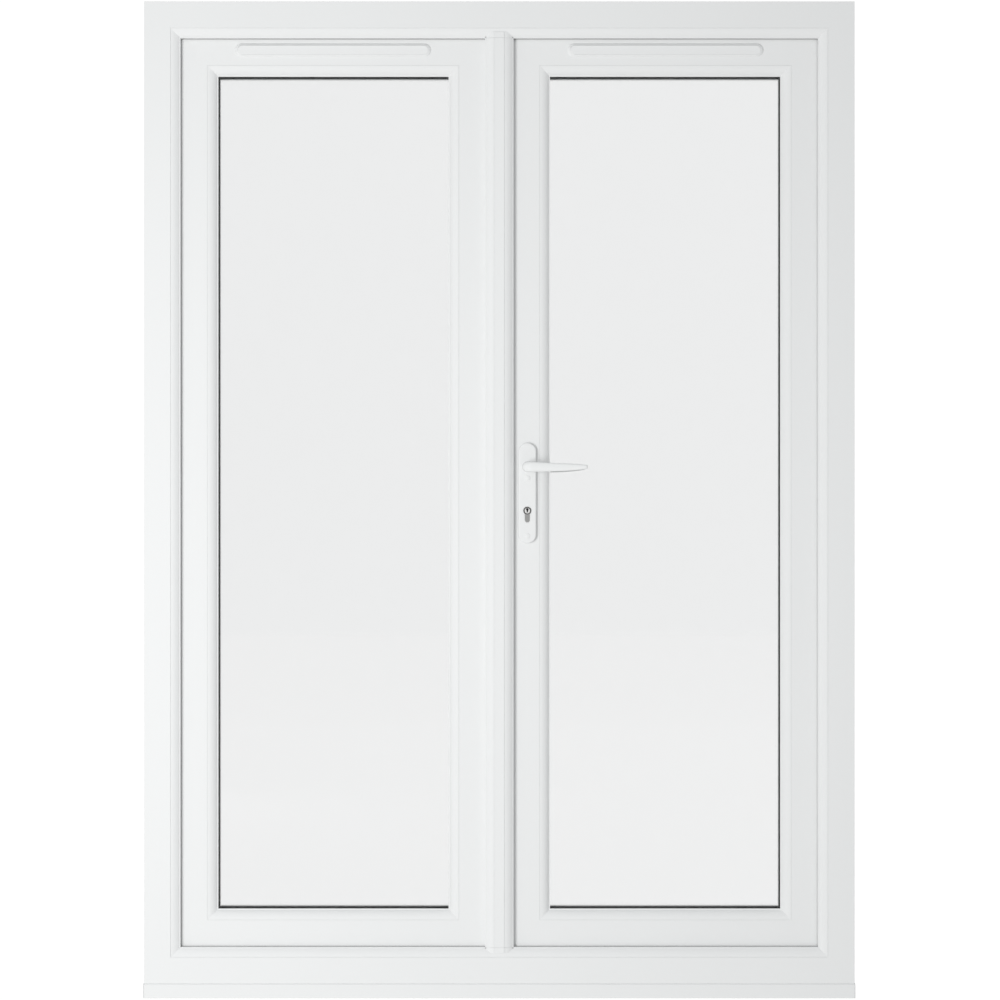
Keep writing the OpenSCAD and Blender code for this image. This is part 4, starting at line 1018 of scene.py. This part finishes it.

# ------------------------------------------------------------------ lock cylinder
# A nickel plated cylinder of the common keyhole shape. Its round plug sits in a dark ring of
# painted shade, and has a drop shaped keyway with a dished mouth.
body_skin = lofted("cylinder_shell", along_y(
    keyhole_outline(0), (body_low[1], 0.5 * MM), (body_low[1] + 0.5 * MM, 0),
    (body_high[1] - 0.5 * MM, 0), (body_high[1], 0.5 * MM)), nickel)
plug_r = 6.2 * MM
bore_r, rim_r, ring_r, ring_hole_r = [plug_r + x * MM for x in (0.25, 1.35, 1.3, 0.1)]
rim_depth, ring_t = 1.2 * MM, 0.3 * MM
bore = lofted("tool", rod((spindle_x, body_low[1] - MM, key_z), 1,
                          (body_high - body_low)[1] + 2 * MM, bore_r), nickel)
rims = [lofted("tool", rod((spindle_x, y, key_z), 1, 1.5 * MM, rim_r), nickel)
        for y in (body_low[1] - ring_t, body_high[1] - rim_depth)]
cut(body_skin, bore, *rims)
# a black ring at the floor of each counterbore paints the shade in the gap round the plug
for k, y in enumerate((body_low[1] + 0.9 * MM, body_high[1] - rim_depth)):
    gap_shade_ring = lofted(f"plug_gap_{k}", rod((spindle_x, y, key_z), 1, ring_t, ring_r), black_rubber)
    hole = lofted("tool", rod((spindle_x, y - MM, key_z), 1, 3 * MM, ring_hole_r), black_rubber)
    cut(gap_shade_ring, hole)
    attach(gap_shade_ring, "master_leaf")
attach(body_skin, "master_leaf")
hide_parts("cylinder_body")


def keyway_outline(grow):
    """A drop: a round head above the middle that narrows to a slot below."""
    head_r, head_up, shoulder = 2.5 + grow, 2.7, 0.6
    slot_half, slot_foot = 1.3 + grow, -3.4 - grow
    t = np.linspace(-0.28 * math.pi, 1.28 * math.pi, 20)
    head = np.stack([head_r * np.cos(t), head_up + head_r * np.sin(t)], axis=1)
    foot = np.array([(-slot_half, shoulder), (-slot_half, slot_foot), (slot_half, slot_foot),
                     (slot_half, shoulder)])
    return (spindle_x, key_z) + np.concatenate([head, foot]) * MM


def keyway_stations(face, inwards, places):
    """The keyway's outline at several depths inwards from a face, each grown by its own amount."""
    return [upright(keyway_outline(grow), face + inwards * depth * MM) for grow, depth in places]


plug_nickel = finish("plug_nickel", (0.84, 0.835, 0.82), (0.92, 0.915, 0.90), (0.3, 0.4),
                     (0.2, 0.0002), (80.0, 1500.0, 0.2), metallic=0.3)
plug_shape = [(5.7, 0.0), (5.7, 0.3), (6.2, 0.8)]
plug_len = (barrel_high - barrel_low)[1] / MM
plug_shape += [(r, plug_len - d) for r, d in plug_shape[::-1]]
plug = lofted("plug", turned((spindle_x, key_z), plug_shape, y0=barrel_low[1], sign=1), plug_nickel)
mouth_shape = (0.7, -0.3), (0.5, 0.0), (0.0, 0.6), (0.0, 20.0)
plug_faces = (barrel_low[1], 1), (barrel_high[1], -1)
cut(plug, *[lofted("tool", keyway_stations(face, inwards, mouth_shape), nickel)
            for face, inwards in plug_faces])
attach(plug, "key_barrel")
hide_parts("key_barrel")
for k, (face, inwards) in enumerate(plug_faces):
    floor_plate = keyway_stations(face, inwards, ((-0.02, 4.0), (-0.02, 5.0)))
    dark = lofted(f"keyway_shade_{k}", floor_plate, black_rubber)
    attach(dark, "key_barrel")
